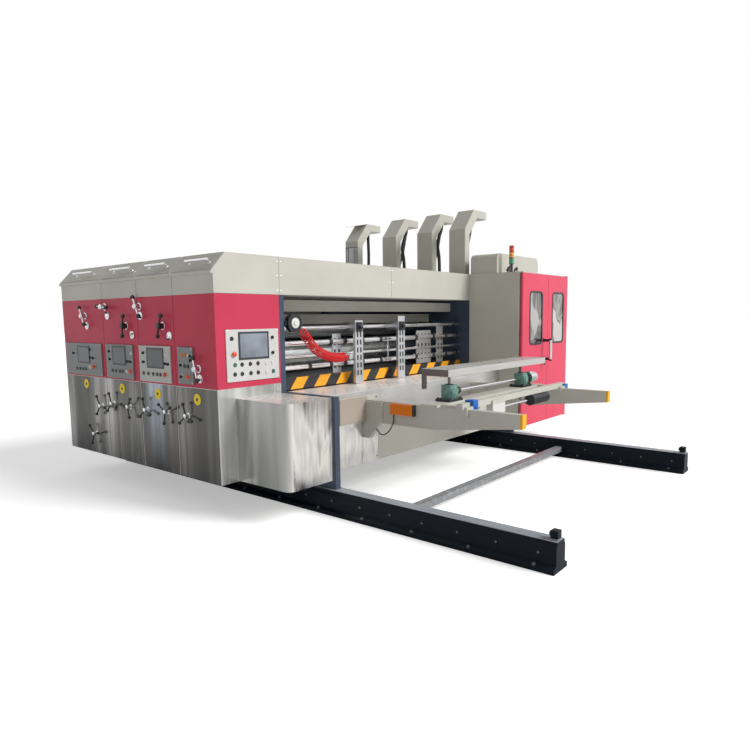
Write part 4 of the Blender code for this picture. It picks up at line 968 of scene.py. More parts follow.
# How far each control face stands out from the machine's own corner
PANEL_FACE = 0.012
FRONT_PANEL_FACE = 0.008
FACE_OUT = {"side": TO_OPERATOR, "front": TO_FRONT}
# Sizes of the plates and controls
PLATE_EDGE = 0.0015
SCREW_INSET = 0.012
KNOB_RADIUS = 0.014
KEY_RADIUS = 0.015
KEY_HEIGHT = 0.009
STOP_RADIUS = 0.021
COLLAR_RIM = 0.003
SCREEN_RIM = 0.016
# Profiles in shares of the control's radius, and for the cap of its height too
KNOB_SKIRT = ((0.0, 1.0), (0.004, 1.0), (0.006, 0.86), (0.014, 0.80), (0.016, 0.70))
STOP_HEAD = (
    (0.0, 0.62), (0.010, 0.58), (0.0105, 0.94), (0.014, 1.0), (0.019, 0.92), (0.023, 0.66),
    (0.0245, 0.3))
KEY_CAP = ((0.0, 1.0), (0.7, 1.0), (0.94, 0.92), (1.0, 0.75), (0.92, 0.35))
# Each panel: unit, face, corners, screen's corners, and places of its controls by kind
CONTROL_PANELS = (
    ("die_cutter", "side", (1.82, 1.05), (2.56, 1.36), ((2.07, 1.18), (2.29, 1.32)), {
        "knob": ((2.382, 1.261), (2.031, 1.304), (2.031, 1.224), (1.969, 1.222)),
        "key": ((2.342, 1.107), (2.279, 1.107), (2.216, 1.107), (2.154, 1.107)),
        "white": ((2.061, 1.129),), "stop": ((1.971, 1.138),)}),
    ("printer_2", "side", (1.24, 1.05), (1.725, 1.36), ((1.375, 1.188), (1.58, 1.333)), {
        "knob": ((1.648, 1.296), (1.639, 1.224), (1.314, 1.213), (1.264, 1.211)),
        "key": ((1.616, 1.117), (1.553, 1.117), (1.481, 1.117), (1.429, 1.117)),
        "white": ((1.351, 1.12), (1.255, 1.289)), "stop": ((1.274, 1.124),)}),
    ("printer_1", "side", (0.63, 1.05), (1.124, 1.36), ((0.745, 1.185), (0.98, 1.33)), {
        "knob": ((1.041, 1.299), (1.042, 1.219), (0.697, 1.216), (0.654, 1.213)),
        "key": ((1.06, 1.118), (0.981, 1.118), (0.903, 1.118), (0.842, 1.118), (0.789, 1.118)),
        "white": ((0.69, 1.289), (0.646, 1.29)), "stop": ((0.706, 1.122),)}),
    ("feeder", "side", (0.305, 1.06), (0.515, 1.36), None, {
        "knob": ((0.325, 1.292), (0.321, 1.257), (0.462, 1.213), (0.463, 1.118)),
        "key": ((0.421, 1.207), (0.373, 1.205)),
        "amber": ((0.454, 1.296), (0.406, 1.297)), "white": ((0.36, 1.295),),
        "stop": ((0.366, 1.123),)}),
    ("feeder", "front", (0.089, 1.087), (0.618, 1.50), ((0.221, 1.273), (0.497, 1.466)), {
        "knob": ((0.550, 1.43), (0.551, 1.302)),
        "key": ((0.143, 1.43), (0.234, 1.22), (0.316, 1.22), (0.394, 1.22), (0.162, 1.145),
                (0.233, 1.145), (0.319, 1.145), (0.394, 1.145)),
        "green": ((0.166, 1.22), (0.555, 1.145)),
        "white": ((0.480, 1.22), (0.548, 1.22), (0.483, 1.145)),
        "stop": ((0.155, 1.307),)}),
)


def on_face(face, a, b, proud=0.0):
    """Return the machine place of a point on a control face."""
    if face == "side":
        return (-PANEL_FACE - proud, a, b)
    return (a, -FRONT_PANEL_FACE - proud, b)


def face_block(face, low, high, near, far, edge=0.0):
    """Add a block on a control face from its two corners and its nearest and farthest reach."""
    return add_block(on_face(face, *low, far), on_face(face, *high, near), edge)


def add_control(kind, face, a, b):
    """Add one knob, stop or push button and return its parts with its collar last."""
    place, out = on_face(face, a, b), FACE_OUT[face]
    if kind == "knob":
        half, reach = KNOB_RADIUS * 0.26, KNOB_RADIUS * 0.9
        parts = [add_turned(scaled(KNOB_SKIRT, KNOB_RADIUS), place, out, 14),
                 face_block(face, (a - half, b - reach), (a + half, b + reach), 0.012, 0.024,
                            0.002)]
        radius = KNOB_RADIUS + 0.003
    elif kind == "stop":
        parts = [add_turned(scaled(STOP_HEAD, STOP_RADIUS), place, out, 20)]
        radius = STOP_RADIUS - 0.002
    else:
        parts = [add_turned(scaled(KEY_CAP, KEY_RADIUS, KEY_HEIGHT), place, out, 16)]
        radius = KEY_RADIUS + 0.003
    collar = ((0.0, radius), (COLLAR_RIM * 0.6, radius), (COLLAR_RIM, radius - 0.0015))
    return [*parts, add_turned(collar, place, out, 18)]


class SLOTTER_OT_panels(bpy.types.Operator):
    """Add the operator panels' plates, screens, switches and buttons."""

    bl_idname = "slotter.panels"
    bl_label = "Operator panels"

    def execute(self, context):
        grey = painted("panel_plate", (0.235, 0.25, 0.25), 0.34)
        plates = {
            # Painted reflection: printer_1's side plate is painted pale for the bright reflection
            # on it; the other side plates keep the darker grey.
            "printer_1_side": painted("pale_panel_plate", (0.52, 0.53, 0.50), 0.34),
            "feeder_front": painted("front_panel_plate", (0.60, 0.60, 0.58), 0.34)}
        glass = {
            "front": screen_glass("screen_glass", (0.20, 0.23, 0.27)),
            "side": screen_glass("side_screen_glass", (0.035, 0.055, 0.065))}
        bezel = moulded("screen_bezel", (0.035, 0.037, 0.04), 0.35)
        ring = turned_metal("control_collar", (0.70, 0.70, 0.70), 0.22)
        kinds = {
            "knob": moulded("switch_black", chosen("black"), 0.35),
            "white": moulded("button_white", (0.62, 0.62, 0.60), 0.3),
            "key": moulded("button_dark", (0.022, 0.025, 0.025), 0.3),
            "green": moulded("button_green", (0.02, 0.16, 0.10), 0.3),
            "amber": moulded("button_amber", (0.55, 0.16, 0.02), 0.3),
            "stop": moulded("button_stop", (0.72, 0.06, 0.02), 0.3),
        }
        for unit, face, low, high, screen, controls in CONTROL_PANELS:
            name = f"{unit}_{face}"
            finish_piece(self.add_plate(face, low, high), f"{name}_panel_plate",
                         plates.get(name, grey), unit)
            screws = [
                add_stud(on_face(face, a, b, PLATE_EDGE), FACE_OUT[face], 0.005, 0.0025, 8)
                for a in (low[0] + SCREW_INSET, high[0] - SCREW_INSET)
                for b in (low[1] + SCREW_INSET, high[1] - SCREW_INSET)]
            finish_piece(screws, f"{name}_panel_screws", ring, unit)
            if screen:
                finish_piece(self.add_bezel(face, *screen), f"{name}_panel_bezel", bezel, unit)
                finish_piece(face_block(face, *screen, 0.003, 0.0062, 0.0008),
                             f"{name}_panel_screen", glass[face], unit)
            collars = []
            for kind, places in controls.items():
                made = []
                for a, b in places:
                    *parts, collar = add_control(kind, face, a, b)
                    if kind in ("knob", "stop"):
                        made += parts
                        collars.append(collar)
                    else:
                        made += [collar, *parts]
                finish_piece(made, f"{name}_panel_{kind}_buttons", kinds[kind], unit)
            finish_piece(collars, f"{name}_panel_collars", ring, unit)
        return {"FINISHED"}

    def add_plate(self, face, low, high):
        """Add a panel's raised plate."""
        depth = PANEL_FACE if face == "side" else FRONT_PANEL_FACE
        return face_block(
            face, (low[0] - PLATE_EDGE, low[1] - PLATE_EDGE),
            (high[0] + PLATE_EDGE, high[1] + PLATE_EDGE), 0.0005 - depth, PLATE_EDGE, 0.0014)

    def add_bezel(self, face, low, high):
        """Add a touch screen's raised bezel with its opening cut back."""
        rim = SCREEN_RIM
        made = face_block(
            face, (low[0] - rim, low[1] - rim), (high[0] + rim, high[1] + rim), -0.001, 0.007,
            0.0025)
        return sink_face(made, FACE_OUT[face], rim * 0.75, 0.002, 0.002)


# Levers, dials, round plates and cover edges on the operator side

# Hand levers: the balls' distance from the pivot and radius, and their axis's distance out
LEVER_BALL_REACH = 0.091
LEVER_BALL_RADIUS = 0.0197
LEVER_AXIS = 0.0393
LEVER_NUT = ((0.0566, 0.013), (0.0574, 0.013), (0.0582, 0.012))
LEVER_COLLAR = ((0.0008, 0.034), (0.006, 0.034), (0.0075, 0.0325), (0.0076, 0.0268))
# Hand levers: distance along, height and tilt in degrees
HAND_LEVERS = (
    (2.118, 1.629, 65.0), (1.714, 1.709, 5.0), (1.338, 1.532, 100.0), (1.094, 1.702, 63.0),
    (0.733, 1.532, 110.0), (0.238, 1.19, 75.0),
)
# Star handles on the lower covers: unit, distance along, height, turn of the first arm
STAR_HANDLES = (
    ("die_cutter", 2.03, 0.47, 170.0), ("die_cutter", 1.869, 0.76, 65.0),
    ("printer_2", 1.639, 0.80, 75.0), ("printer_2", 1.343, 0.795, 250.0),
    ("printer_1", 1.041, 0.793, 320.0), ("printer_1", 0.717, 0.804, 35.0),
    ("feeder", 0.411, 0.797, 200.0),
)
STAR_STEM = (
    (0.0, 0.024), (0.004, 0.024), (0.006, 0.0135), (0.024, 0.0125), (0.026, 0.019),
    (0.044, 0.019), (0.047, 0.013), (0.050, 0.008))
# Length and radius of an arm, and radius of its ball
STAR_ARM = 0.10
STAR_ARM_RADIUS = 0.0065
STAR_BALL = 0.015
# Dials and round plates: unit, distance along and height
DIALS = (
    ("die_cutter", 2.084, 1.532), ("printer_2", 1.669, 1.626), ("printer_2", 1.236, 1.452),
    ("printer_1", 1.078, 1.621), ("printer_1", 0.631, 1.45), ("feeder", 0.221, 1.112),
)
DIAL_RADIUS = 0.036
# In shares of the dial's radius
DIAL_DISC = ((0.0, 1.0), (0.010, 1.0), (0.012, 0.94), (0.012, 0.60), (0.015, 0.55), (0.017, 0.30))
DIAL_KNOB = ((0.010, 0.008), (0.024, 0.006), (0.028, 0.008), (0.033, 0.004))
ROUND_PLATES = (
    ("die_cutter", 2.19, 0.957), ("printer_2", 1.48, 0.952), ("printer_1", 0.87, 0.945),
    ("feeder", 0.28, 0.94))
ROUND_PLATE = ((0.0, 0.047), (0.0018, 0.047), (0.003, 0.0458))


def tilted(degrees):
    """Return a direction on the operator side, turned up from the way to the rear."""
    angle = math.radians(degrees)
    return Vector((0.0, math.cos(angle), math.sin(angle)))


class SLOTTER_OT_handles(bpy.types.Operator):
    """Add the levers' balls, star handles, dials, round plates and cover edges."""

    bl_idname = "slotter.handles"
    bl_label = "Levers and dials"

    def execute(self, context):
        black = moulded("ball_black", chosen("black"), 0.25)
        bright = turned_metal("bright_steel", (0.78, 0.78, 0.79), 0.14)
        for number, (y, z, tilt) in enumerate(HAND_LEVERS):
            along = tilted(tilt)
            centre = Vector((-LEVER_AXIS, y, z))
            body = f"hand_lever_{number + 1}"
            balls = [add_ball(centre + along * (LEVER_BALL_REACH * side), LEVER_BALL_RADIUS,
                              along * side) for side in (-1.0, 1.0)]
            finish_piece(balls, f"{body}_balls", black, body)
            nut = [add_turned(LEVER_NUT, (0.0, y, z), TO_OPERATOR, 6),
                   add_turned(LEVER_COLLAR, (0.0, y, z), TO_OPERATOR)]
            finish_piece(nut, f"{body}_nut", bright, body)
        for number, place in enumerate(STAR_HANDLES):
            self.add_star(f"star_handle_{number + 1}", *place, black, bright)
        for number, (unit, y, z) in enumerate(DIALS):
            disc = add_turned(scaled(DIAL_DISC, DIAL_RADIUS), (0.0, y, z), TO_OPERATOR, 28)
            finish_piece(disc, f"dial_{number + 1}", bright, unit)
            place = Vector((0.0, y, z)) + tilted(40.0 + 60.0 * number) * (DIAL_RADIUS * 0.75)
            knob = add_turned(DIAL_KNOB, place, TO_OPERATOR, 12)
            finish_piece(knob, f"dial_{number + 1}_knob", black, unit)
        yellow = painted("plate_yellow", (1.0, 0.72, 0.02), 0.4)
        dark = moulded("plate_screw", (0.05, 0.04, 0.02), 0.4)
        for unit, y, z in ROUND_PLATES:
            plate = add_turned(ROUND_PLATE, (0.0, y, z), TO_OPERATOR, 32)
            finish_piece(plate, f"{unit}_round_plate", yellow, unit)
            screw = add_stud((-0.003, y, z), TO_OPERATOR, 0.013, 0.004)
            finish_piece(screw, f"{unit}_round_plate_screw", dark, unit)
        self.add_cover_edges()
        return {"FINISHED"}

    def add_star(self, name, unit, y, z, turn, black, bright):
        """Add one three-armed clamping handle with its stem."""
        stem = add_turned(STAR_STEM, (0.0, y, z), TO_OPERATOR, 16)
        arms = []
        for arm in range(3):
            along = tilted(turn + 120.0 * arm)
            start = Vector((-0.035, y, z)) + along * 0.012
            end = Vector((-0.042, y, z)) + along * STAR_ARM
            arms.append(add_bar(start, end, STAR_ARM_RADIUS, 10))
            arms.append(add_ball(end, STAR_BALL, along, 12, 6))
        finish_piece(stem, name, bright, unit)
        finish_piece(arms, f"{name}_arms", black, unit)

    def add_cover_edges(self):
        """Add the bright folded edges where the lower covers meet each other and the housings."""
        edge = brushed_sheet("cover_edge", (0.62, 0.62, 0.60), "Z")
        for unit in UNITS:
            low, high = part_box(f"{unit}_lower_cover")
            front, back = low.y - ORIGIN.y + 0.0005, high.y - ORIGIN.y - 0.0005
            strips = [
                add_block((-0.0012, front, COVER_FOOT + 0.001),
                          (0.004, front + 0.0045, COVER_TOP - 0.001), 0.0008, 1),
                add_block((-0.0012, front, COVER_TOP - 0.005),
                          (0.004, back, COVER_TOP - 0.0008), 0.0008, 1)]
            finish_piece(strips, f"{unit}_cover_edges", edge, unit)


# Hoods

# Each grab handle's two posts, as distances along
GRAB_POSTS = {
    "feeder": (0.091, 0.366), "printer_1": (0.682, 0.97), "printer_2": (1.251, 1.581),
    "die_cutter": (1.965, 2.33)}
# The slope's foot and top, as (across, height)
LIP = (-0.02, 1.953)
SLOPE_TOP = (0.113, 2.10)
# Grab handles: share up the slope, height above it, and the bar's reach past its posts
GRAB_UP_SLOPE = 0.45
GRAB_HEIGHT = 0.04
GRAB_END = 0.0115
# Lids: share up the slope where they start, thickness and back edge
LID_START = 0.08
LID_THICKNESS = 0.004
LID_BACK = DRIVE_PLATE_X - 0.06
# The front's seams: skin, width, foot, top, places across and the screws beside them
SEAM_SKIN = 0.0006
SEAM_WIDTH = 0.0025
SEAM_FOOT, SEAM_TOP = 1.786, 2.098
SEAM_COLUMNS = (0.655, 2.17)
SEAM_SCREW_COLUMNS = (0.635, 0.68, 2.15, 2.195, 3.66)
SEAM_SCREW_ROWS = (1.82, 1.94, 2.06)
REAR_GUARD = ((MOUTH[0] + 0.001, 2.575, 1.61), (MOUTH[1] - 0.001, 2.605, 1.7835))


def slope_place(share, y, proud=0.0):
    """Return the machine place of a point up the hood's slope."""
    run = Vector((SLOPE_TOP[0] - LIP[0], 0.0, SLOPE_TOP[1] - LIP[1]))
    out = Vector((-run.z, 0.0, run.x)).normalized()
    return Vector((LIP[0], y, LIP[1])) + run * share + out * proud


class SLOTTER_OT_hoods(bpy.types.Operator):
    """Add the grab handles, lids, front seams and rear guard of the hoods."""

    bl_idname = "slotter.hoods"
    bl_label = "Hoods"

    def execute(self, context):
        bright = turned_metal("grab_chrome", (0.80, 0.80, 0.80), 0.2)
        # Painted shade: the lids on the slope and roof get a darker copy of the beige.
        lid = painted("lid_beige", shade(chosen("beige"), 0.70), 0.38)
        for unit in UNITS:
            near, far = GRAB_POSTS[unit]
            bars = []
            for y in (near, far):
                for start, end, radius in ((-0.001, GRAB_HEIGHT, 0.0098), (0.003, 0.008, 0.014)):
                    bars.append(add_bar(slope_place(GRAB_UP_SLOPE, y, start),
                                        slope_place(GRAB_UP_SLOPE, y, end), radius))
            bars.append(add_bar(slope_place(GRAB_UP_SLOPE, near - GRAB_END, GRAB_HEIGHT),
                                slope_place(GRAB_UP_SLOPE, far + GRAB_END, GRAB_HEIGHT), 0.0107))
            finish_piece(bars, f"{unit}_grab", bright, unit)
            low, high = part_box(f"{unit}_hood")
            front, back = low.y - ORIGIN.y + 0.012, high.y - ORIGIN.y - 0.012
            finish_piece(self.add_lid(front, back), f"{unit}_lid", lid, unit)
        seams = [add_block((x, -SEAM_SKIN, SEAM_FOOT), (x + SEAM_WIDTH, 0.001, SEAM_TOP))
                 for x in SEAM_COLUMNS]
        seams.append(add_block((0.002, -SEAM_SKIN, SEAM_FOOT - 0.0015),
                               (LID_BACK, 0.001, SEAM_FOOT + 0.001)))
        dark = moulded("seam_dark", (0.10, 0.10, 0.09), 0.6)
        finish_piece(round_edges(join(seams), 0.0003, 1), "hood_front_seams", dark, "feeder")
        screws = [add_stud((x, 0.0, z), TO_FRONT, 0.006, 0.003, 10)
                  for x in SEAM_SCREW_COLUMNS for z in SEAM_SCREW_ROWS]
        finish_piece(screws, "hood_front_screws", bright, "feeder")
        # Painted shade: the rear guard gets a darker copy of the beige.
        finish_piece(add_block(*REAR_GUARD, 0.004), "die_cutter_rear_guard",
                     painted("rear_guard", shade(chosen("beige"), 0.8), 0.4), "die_cutter")
        return {"FINISHED"}

    def add_lid(self, front, back):
        """Add a thin lid that folds over the slope's top edge onto the roof."""
        lift = Vector((0.0, 0.0, LID_THICKNESS))
        rear = Vector((LID_BACK, 0.0, SLOPE_TOP[1]))
        fold = Vector((SLOPE_TOP[0] - 0.0018, 0.0, SLOPE_TOP[1])) + lift
        outline = [
            slope_place(LID_START, 0.0), slope_place(1.0, 0.0), rear,
            rear + lift, fold, slope_place(LID_START, 0.0, LID_THICKNESS)]
        return round_edges(add_profile([(p.x, p.z) for p in outline], "Y", front, back), 0.0012)


# Feed end: apron and table

APRON_FACE = -0.41
# Apron sheets: name, finish, and extents across and in height
APRON_SHEETS = (
    ("apron_sheet", "light", (1.447, MOUTH[1] - 0.002), (0.60, 0.9285)),
    ("apron_lower_sheet", "mirror", (MOUTH[0] + 0.002, 1.434), (0.272, 0.655)),
    ("apron_top_strip", "light", (0.702, 1.434), (0.895, 0.9285)),
)
APRON_INSET = ((0.93, APRON_FACE - 0.008, 0.665), (1.29, APRON_FACE + 0.0005, 0.885))
TABLE_SHEET = (
    (MOUTH[0] + 0.001, APRON_FACE - 0.001, TABLE_TOP - 0.0005),
    (MOUTH[1] - 0.001, 0.137, TABLE_TOP + 0.0016))
APRON_SCREWS = ((1.418, 0.864), (1.418, 0.70), (1.418, 0.60), (1.418, 0.31))
# Rows of holes in the table: first place across, and distances along
HOLE_ROWS = ((0.82, (-0.33, -0.18)), (0.895, (-0.255, -0.105)))
HOLE_STEP = 0.15
HOLES = 19


class SLOTTER_OT_front(bpy.types.Operator):
    """Add the sheets, inset panel, holes and fasteners of the table and its apron."""

    bl_idname = "slotter.front"
    bl_label = "Table and apron"

    def execute(self, context):
        body = frame_body("feed_table")
        finishes = {
            "light": brushed_sheet("apron_sheet", (0.66, 0.655, 0.64), "X"),
            # Painted reflections: the mirror finish lays bright streaked reflections on the lower
            # apron sheet.
            "mirror": guard_mirror("apron_mirror", (0.66, 0.645, 0.62))}
        dark = moulded("fastener_black", chosen("black"))
        for name, finish, (left, right), (low, high) in APRON_SHEETS:
            sheet = add_block(
                (left, APRON_FACE - 0.002, low), (right, APRON_FACE + 0.0005, high), 0.0006, 1)
            finish_piece(sheet, name, finishes[finish], body)
        inset = sink_face(add_block(*APRON_INSET), TO_FRONT, 0.014, 0.005)
        finish_piece(round_edges(inset, 0.0012), "apron_inset",
                     painted("inset_brown", (0.44, 0.37, 0.31), 0.4), body)
        screws = [add_stud((x, APRON_FACE, z), TO_FRONT, 0.007, 0.004, 10)
                  for x, z in APRON_SCREWS]
        finish_piece(screws, "apron_screws", dark, body)
        sheet = brushed_sheet("table_sheet", (0.86, 0.83, 0.81), "X", 0.35)
        finish_piece(add_block(*TABLE_SHEET, 0.0006, 1), "table_sheet", sheet, body)
        # Painted shade: each table hole is a dark disc standing for the shade inside it.
        hole = add_turned(((0.0, 0.0085), (0.0007, 0.008)), (0.0, 0.0, TABLE_TOP + 0.0014), UP, 10)
        places = [(first + HOLE_STEP * step, y, 0.0)
                  for first, rows in HOLE_ROWS for step in range(HOLES) for y in rows]
        finish_piece(copies(hole, places), "table_holes", dark, body)
        return {"FINISHED"}


# Mouth: guides, rack, shafts and reel

# Front guides: node, left, right and top
GUIDES = (("left_guide", 1.622, 1.735, 1.56), ("right_guide", 2.301, 2.414, 1.60))
# The guides' front face, and the number of slot rows
GUIDE_FACE = 0.02
GUIDE_SLOTS = 6
CLAMP_KNOB = ((0.0, 0.012), (0.012, 0.012), (0.014, 0.019), (0.026, 0.019), (0.029, 0.014))
# Distance along of the shafts
SHAFT_Y = 0.155
# Heights of the top guide shaft and of the two shafts with collars
GUIDE_SHAFT_Z = 1.495
COLLAR_SHAFTS = ((1.357, 0.036), (1.14, 0.034))
COLLARS = (1.12, 1.40, 1.60, 1.86, 2.15, 2.52, 2.78, 3.12, 3.38, 3.60)
# Rack plates: left, width, foot and top
RACKS = ((1.44, 0.12, 1.05, 1.43), (2.81, 0.28, 1.056, 1.43), (3.215, 0.125, 1.04, 1.50))
RACK_SLOT_PITCH = 0.07
RACK_SLOT_ROWS = (0.05, 0.16, 0.27)
THIN_ROD = ((2.236, 0.11, 1.12), (2.236, 0.11, 1.377))
REEL_HUB = (
    (0.0, 0.045), (0.003, 0.045), (0.005, 0.040), (0.005, 0.024), (0.012, 0.022), (0.014, 0.012))


class SLOTTER_OT_mouth(bpy.types.Operator):
    """Add the guides' clamps, the guides' and rack's slots as dark patches of painted shade, the
    thin rod and the reel's hub.
    """

    bl_idname = "slotter.mouth"
    bl_label = "Mouth"

    def execute(self, context):
        # Painted shade: the slots are dark patches standing for the shade inside them.
        dark = moulded("slot_dark", (0.02, 0.022, 0.025), 0.5)
        black = moulded("clamp_black", chosen("black"))
        bright = turned_metal("rod_steel", (0.72, 0.72, 0.73), 0.2)
        silver = turned_metal("rack_silver", (0.62, 0.63, 0.64), 0.3)
        for guide in GUIDES:
            self.add_guide_trim(*guide, dark, black, silver)
        body = frame_body("mouth_shafts")
        for number, (left, width, low, high) in enumerate(RACKS):
            plate = add_block((left - 0.001, SHAFT_Y - 0.001, low - 0.001),
                              (left + width + 0.001, SHAFT_Y + 0.013, high + 0.001), 0.002)
            finish_piece(plate, f"rack_plate_{number + 1}", silver, body)
            columns = max(1, round(width / RACK_SLOT_PITCH))
            slots = []
            for column in range(columns):
                x = left + width * (column + 0.5) / columns
                for row in RACK_SLOT_ROWS:
                    slots.append(add_block((x - 0.014, SHAFT_Y - 0.0018, low + row),
                                           (x + 0.014, SHAFT_Y + 0.001, low + row + 0.07),
                                           0.0005, 1))
            finish_piece(slots, f"rack_slots_{number + 1}", dark, body)
        collars = [add_bar((x - 0.018, SHAFT_Y, z), (x + 0.018, SHAFT_Y, z), radius, 18, 0.004)
                   for x in COLLARS for z, radius in COLLAR_SHAFTS]
        finish_piece(collars, "shaft_collars", black, body)
        finish_piece(add_bar(*THIN_ROD, 0.006), "thin_rod", bright, body)
        hub = add_turned(REEL_HUB, (REEL[0], -0.030, REEL[1]), TO_FRONT, 28)
        finish_piece(hub, "reel_hub", painted("reel_white", (0.72, 0.72, 0.70), 0.35),
                     frame_body("hose_reel"))
        return {"FINISHED"}

    def add_guide_trim(self, name, left, right, top, dark, black, silver):
        """Add one guide's slots as dark patches of painted shade, its clamp and its bright edges.
        """
        middle = (left + right) / 2.0
        slots = []
        for step in range(GUIDE_SLOTS):
            z = 1.02 + 0.075 * step
            for near, far in ((-0.034, -0.012), (0.012, 0.034)):
                slots.append(add_block((middle + near, GUIDE_FACE - 0.0006, z),
                                       (middle + far, GUIDE_FACE + 0.001, z + 0.05), 0.0004, 1))
        finish_piece(slots, f"{name}_slots", dark, name)
        clamp = add_block((middle - 0.036, GUIDE_FACE - 0.018, GUIDE_SHAFT_Z - 0.048),
                          (middle + 0.036, GUIDE_FACE, GUIDE_SHAFT_Z + 0.048), 0.004)
        knob = add_turned(CLAMP_KNOB, (middle, GUIDE_FACE - 0.017, GUIDE_SHAFT_Z), TO_FRONT, 16)
        finish_piece([clamp, knob], f"{name}_clamp", black, name)
        edges = [add_block((x - 0.0035, GUIDE_FACE - 0.001, 0.942),
                           (x + 0.0035, GUIDE_FACE + 0.029, top - 0.002), 0.001, 1)
                 for x in (left + 0.002, right - 0.002)]
        finish_piece(edges, f"{name}_edges", silver, name)


# Rolls inside the rear units

# Rolls: unit and distance along
ROLLS = (("printer_1", 0.855), ("printer_2", 1.455), ("die_cutter", 2.19))
ROLL_HEIGHTS = (("upper_roll", 1.486), ("lower_roll", 0.915))
ROLL = (
    (0.0, 0.035), (0.04, 0.035), (0.041, 0.109), (0.047, 0.115), (2.951, 0.115),
    (2.957, 0.109), (2.958, 0.035), (2.998, 0.035))


class SLOTTER_OT_rolls(bpy.types.Operator):
    """Add the upper and lower rolls beside each rear unit's cylinder."""

    bl_idname = "slotter.rolls"
    bl_label = "Rolls"

    def execute(self, context):
        finishes = (turned_metal("roll_steel", (0.36, 0.37, 0.38), 0.3),
                    moulded("roll_rubber", (0.06, 0.065, 0.07), 0.45))
        for unit, y in ROLLS:
            for (name, z), finish in zip(ROLL_HEIGHTS, finishes):
                roll = add_turned(ROLL, (MOUTH[0] + 0.001, y, z), TO_DRIVE, 40)
                finish_piece(roll, f"{unit}_{name}", finish, unit)
        return {"FINISHED"}


# Back stop

# Beams: node, left, right, and how much lower the carriage's clamp sits on it
BEAMS = (("operator_beam", 1.278, 1.343, 0.0), ("drive_beam", 3.073, 3.138, 0.03))
BEAM_NOSE = -1.9612
BEAM_TOP = 0.85
BEAM_FOOT = BEAM_TOP - 0.108
# The beams' end caps: depth, fall of the beam's underside per depth, and thickness
CAP = 0.022
CAP_SLOPE = 0.16
CAP_SKIN = 0.001
CLAMP_SCREW = ((0.0, 0.017), (0.004, 0.017), (0.006, 0.012), (0.012, 0.011))
# Screw jacks: places across, place along, and heights of the base, its top and the shaft
JACKS = (1.53, 2.85)
JACK_Y = -1.14
JACK_BASE_Z = 0.8706
JACK_BASE_TOP = JACK_BASE_Z + 0.0225
JACK_AXIS_Z = JACK_BASE_Z + 0.022 + 0.055
JACK_GREEN = (0.15, 0.30, 0.25)
COUPLING = (
    (0.0205, 0.0305), (0.044, 0.0305), (0.0455, 0.027), (0.052, 0.027), (0.0535, 0.0325),
    (0.088, 0.0325), (0.0905, 0.030))
JACK_CAP = ((0.0, 0.034), (0.004, 0.034), (0.007, 0.030), (0.008, 0.017))
JACK_FACE = (
    (0.0, 0.047), (0.006, 0.047), (0.010, 0.043), (0.011, 0.030), (0.016, 0.028), (0.018, 0.020))
JACK_NECK = ((0.0, 0.050), (0.005, 0.050), (0.012, 0.046), (0.018, 0.037))
# The casing's bolts, aside and up in shares of their circle's radius
JACK_BOLTS = ((0.707, 0.707), (-0.707, 0.707), (0.707, -0.707), (-0.707, -0.707))
# The travel's axis as (along, height), its rod's ends across, and corners of the covers
TRAVEL_AXIS = (-1.45, 0.80)
TRAVEL_ROD = (1.901, 2.429)
GEAR_COVER = ((1.679, TRAVEL_AXIS[0] - 0.0312, 0.749), (1.901, TRAVEL_AXIS[0] + 0.0312, 0.8495))
SENSOR_CASE = ((1.2465, -0.9715, 0.7485), (1.2785, -0.7085, 0.8455))
SENSOR_END = ((1.2458, -0.9722, 0.7478), (1.2792, -0.949, 0.8462))
BAR_SHEET = ((1.499, -1.1512, 1.1345), (3.401, -0.869, 1.1365))
BAR_SCREWS = (1.56, 1.95, 2.45, 2.95, 3.34)


def finned(start, end, first, step, count, rib):
    """Return a motor's profile: its start, evenly spaced ribs and its end."""
    profile = list(start)
    for number in range(count):
        foot = first + step * number
        profile += [(foot + along, radius) for along, radius in rib]
    return profile + list(end)


LIFT_MOTOR = finned(
    ((0.0005, 0.0615), (0.0145, 0.0615)),
    ((0.129, 0.0556), (0.131, 0.0556), (0.156, 0.050), (0.1605, 0.047)), 0.018, 0.0135, 8,
    ((0.0, 0.0556), (0.002, 0.0585), (0.006, 0.0585), (0.008, 0.0556)))
TRAVEL_MOTOR = finned(
    ((0.0, 0.0535), (0.0155, 0.0535)),
    ((0.309, 0.0497), (0.311, 0.0526), (0.335, 0.0526), (0.3405, 0.045)), 0.02, 0.0205, 14,
    ((0.0, 0.0497), (0.003, 0.052), (0.011, 0.052), (0.014, 0.0497)))


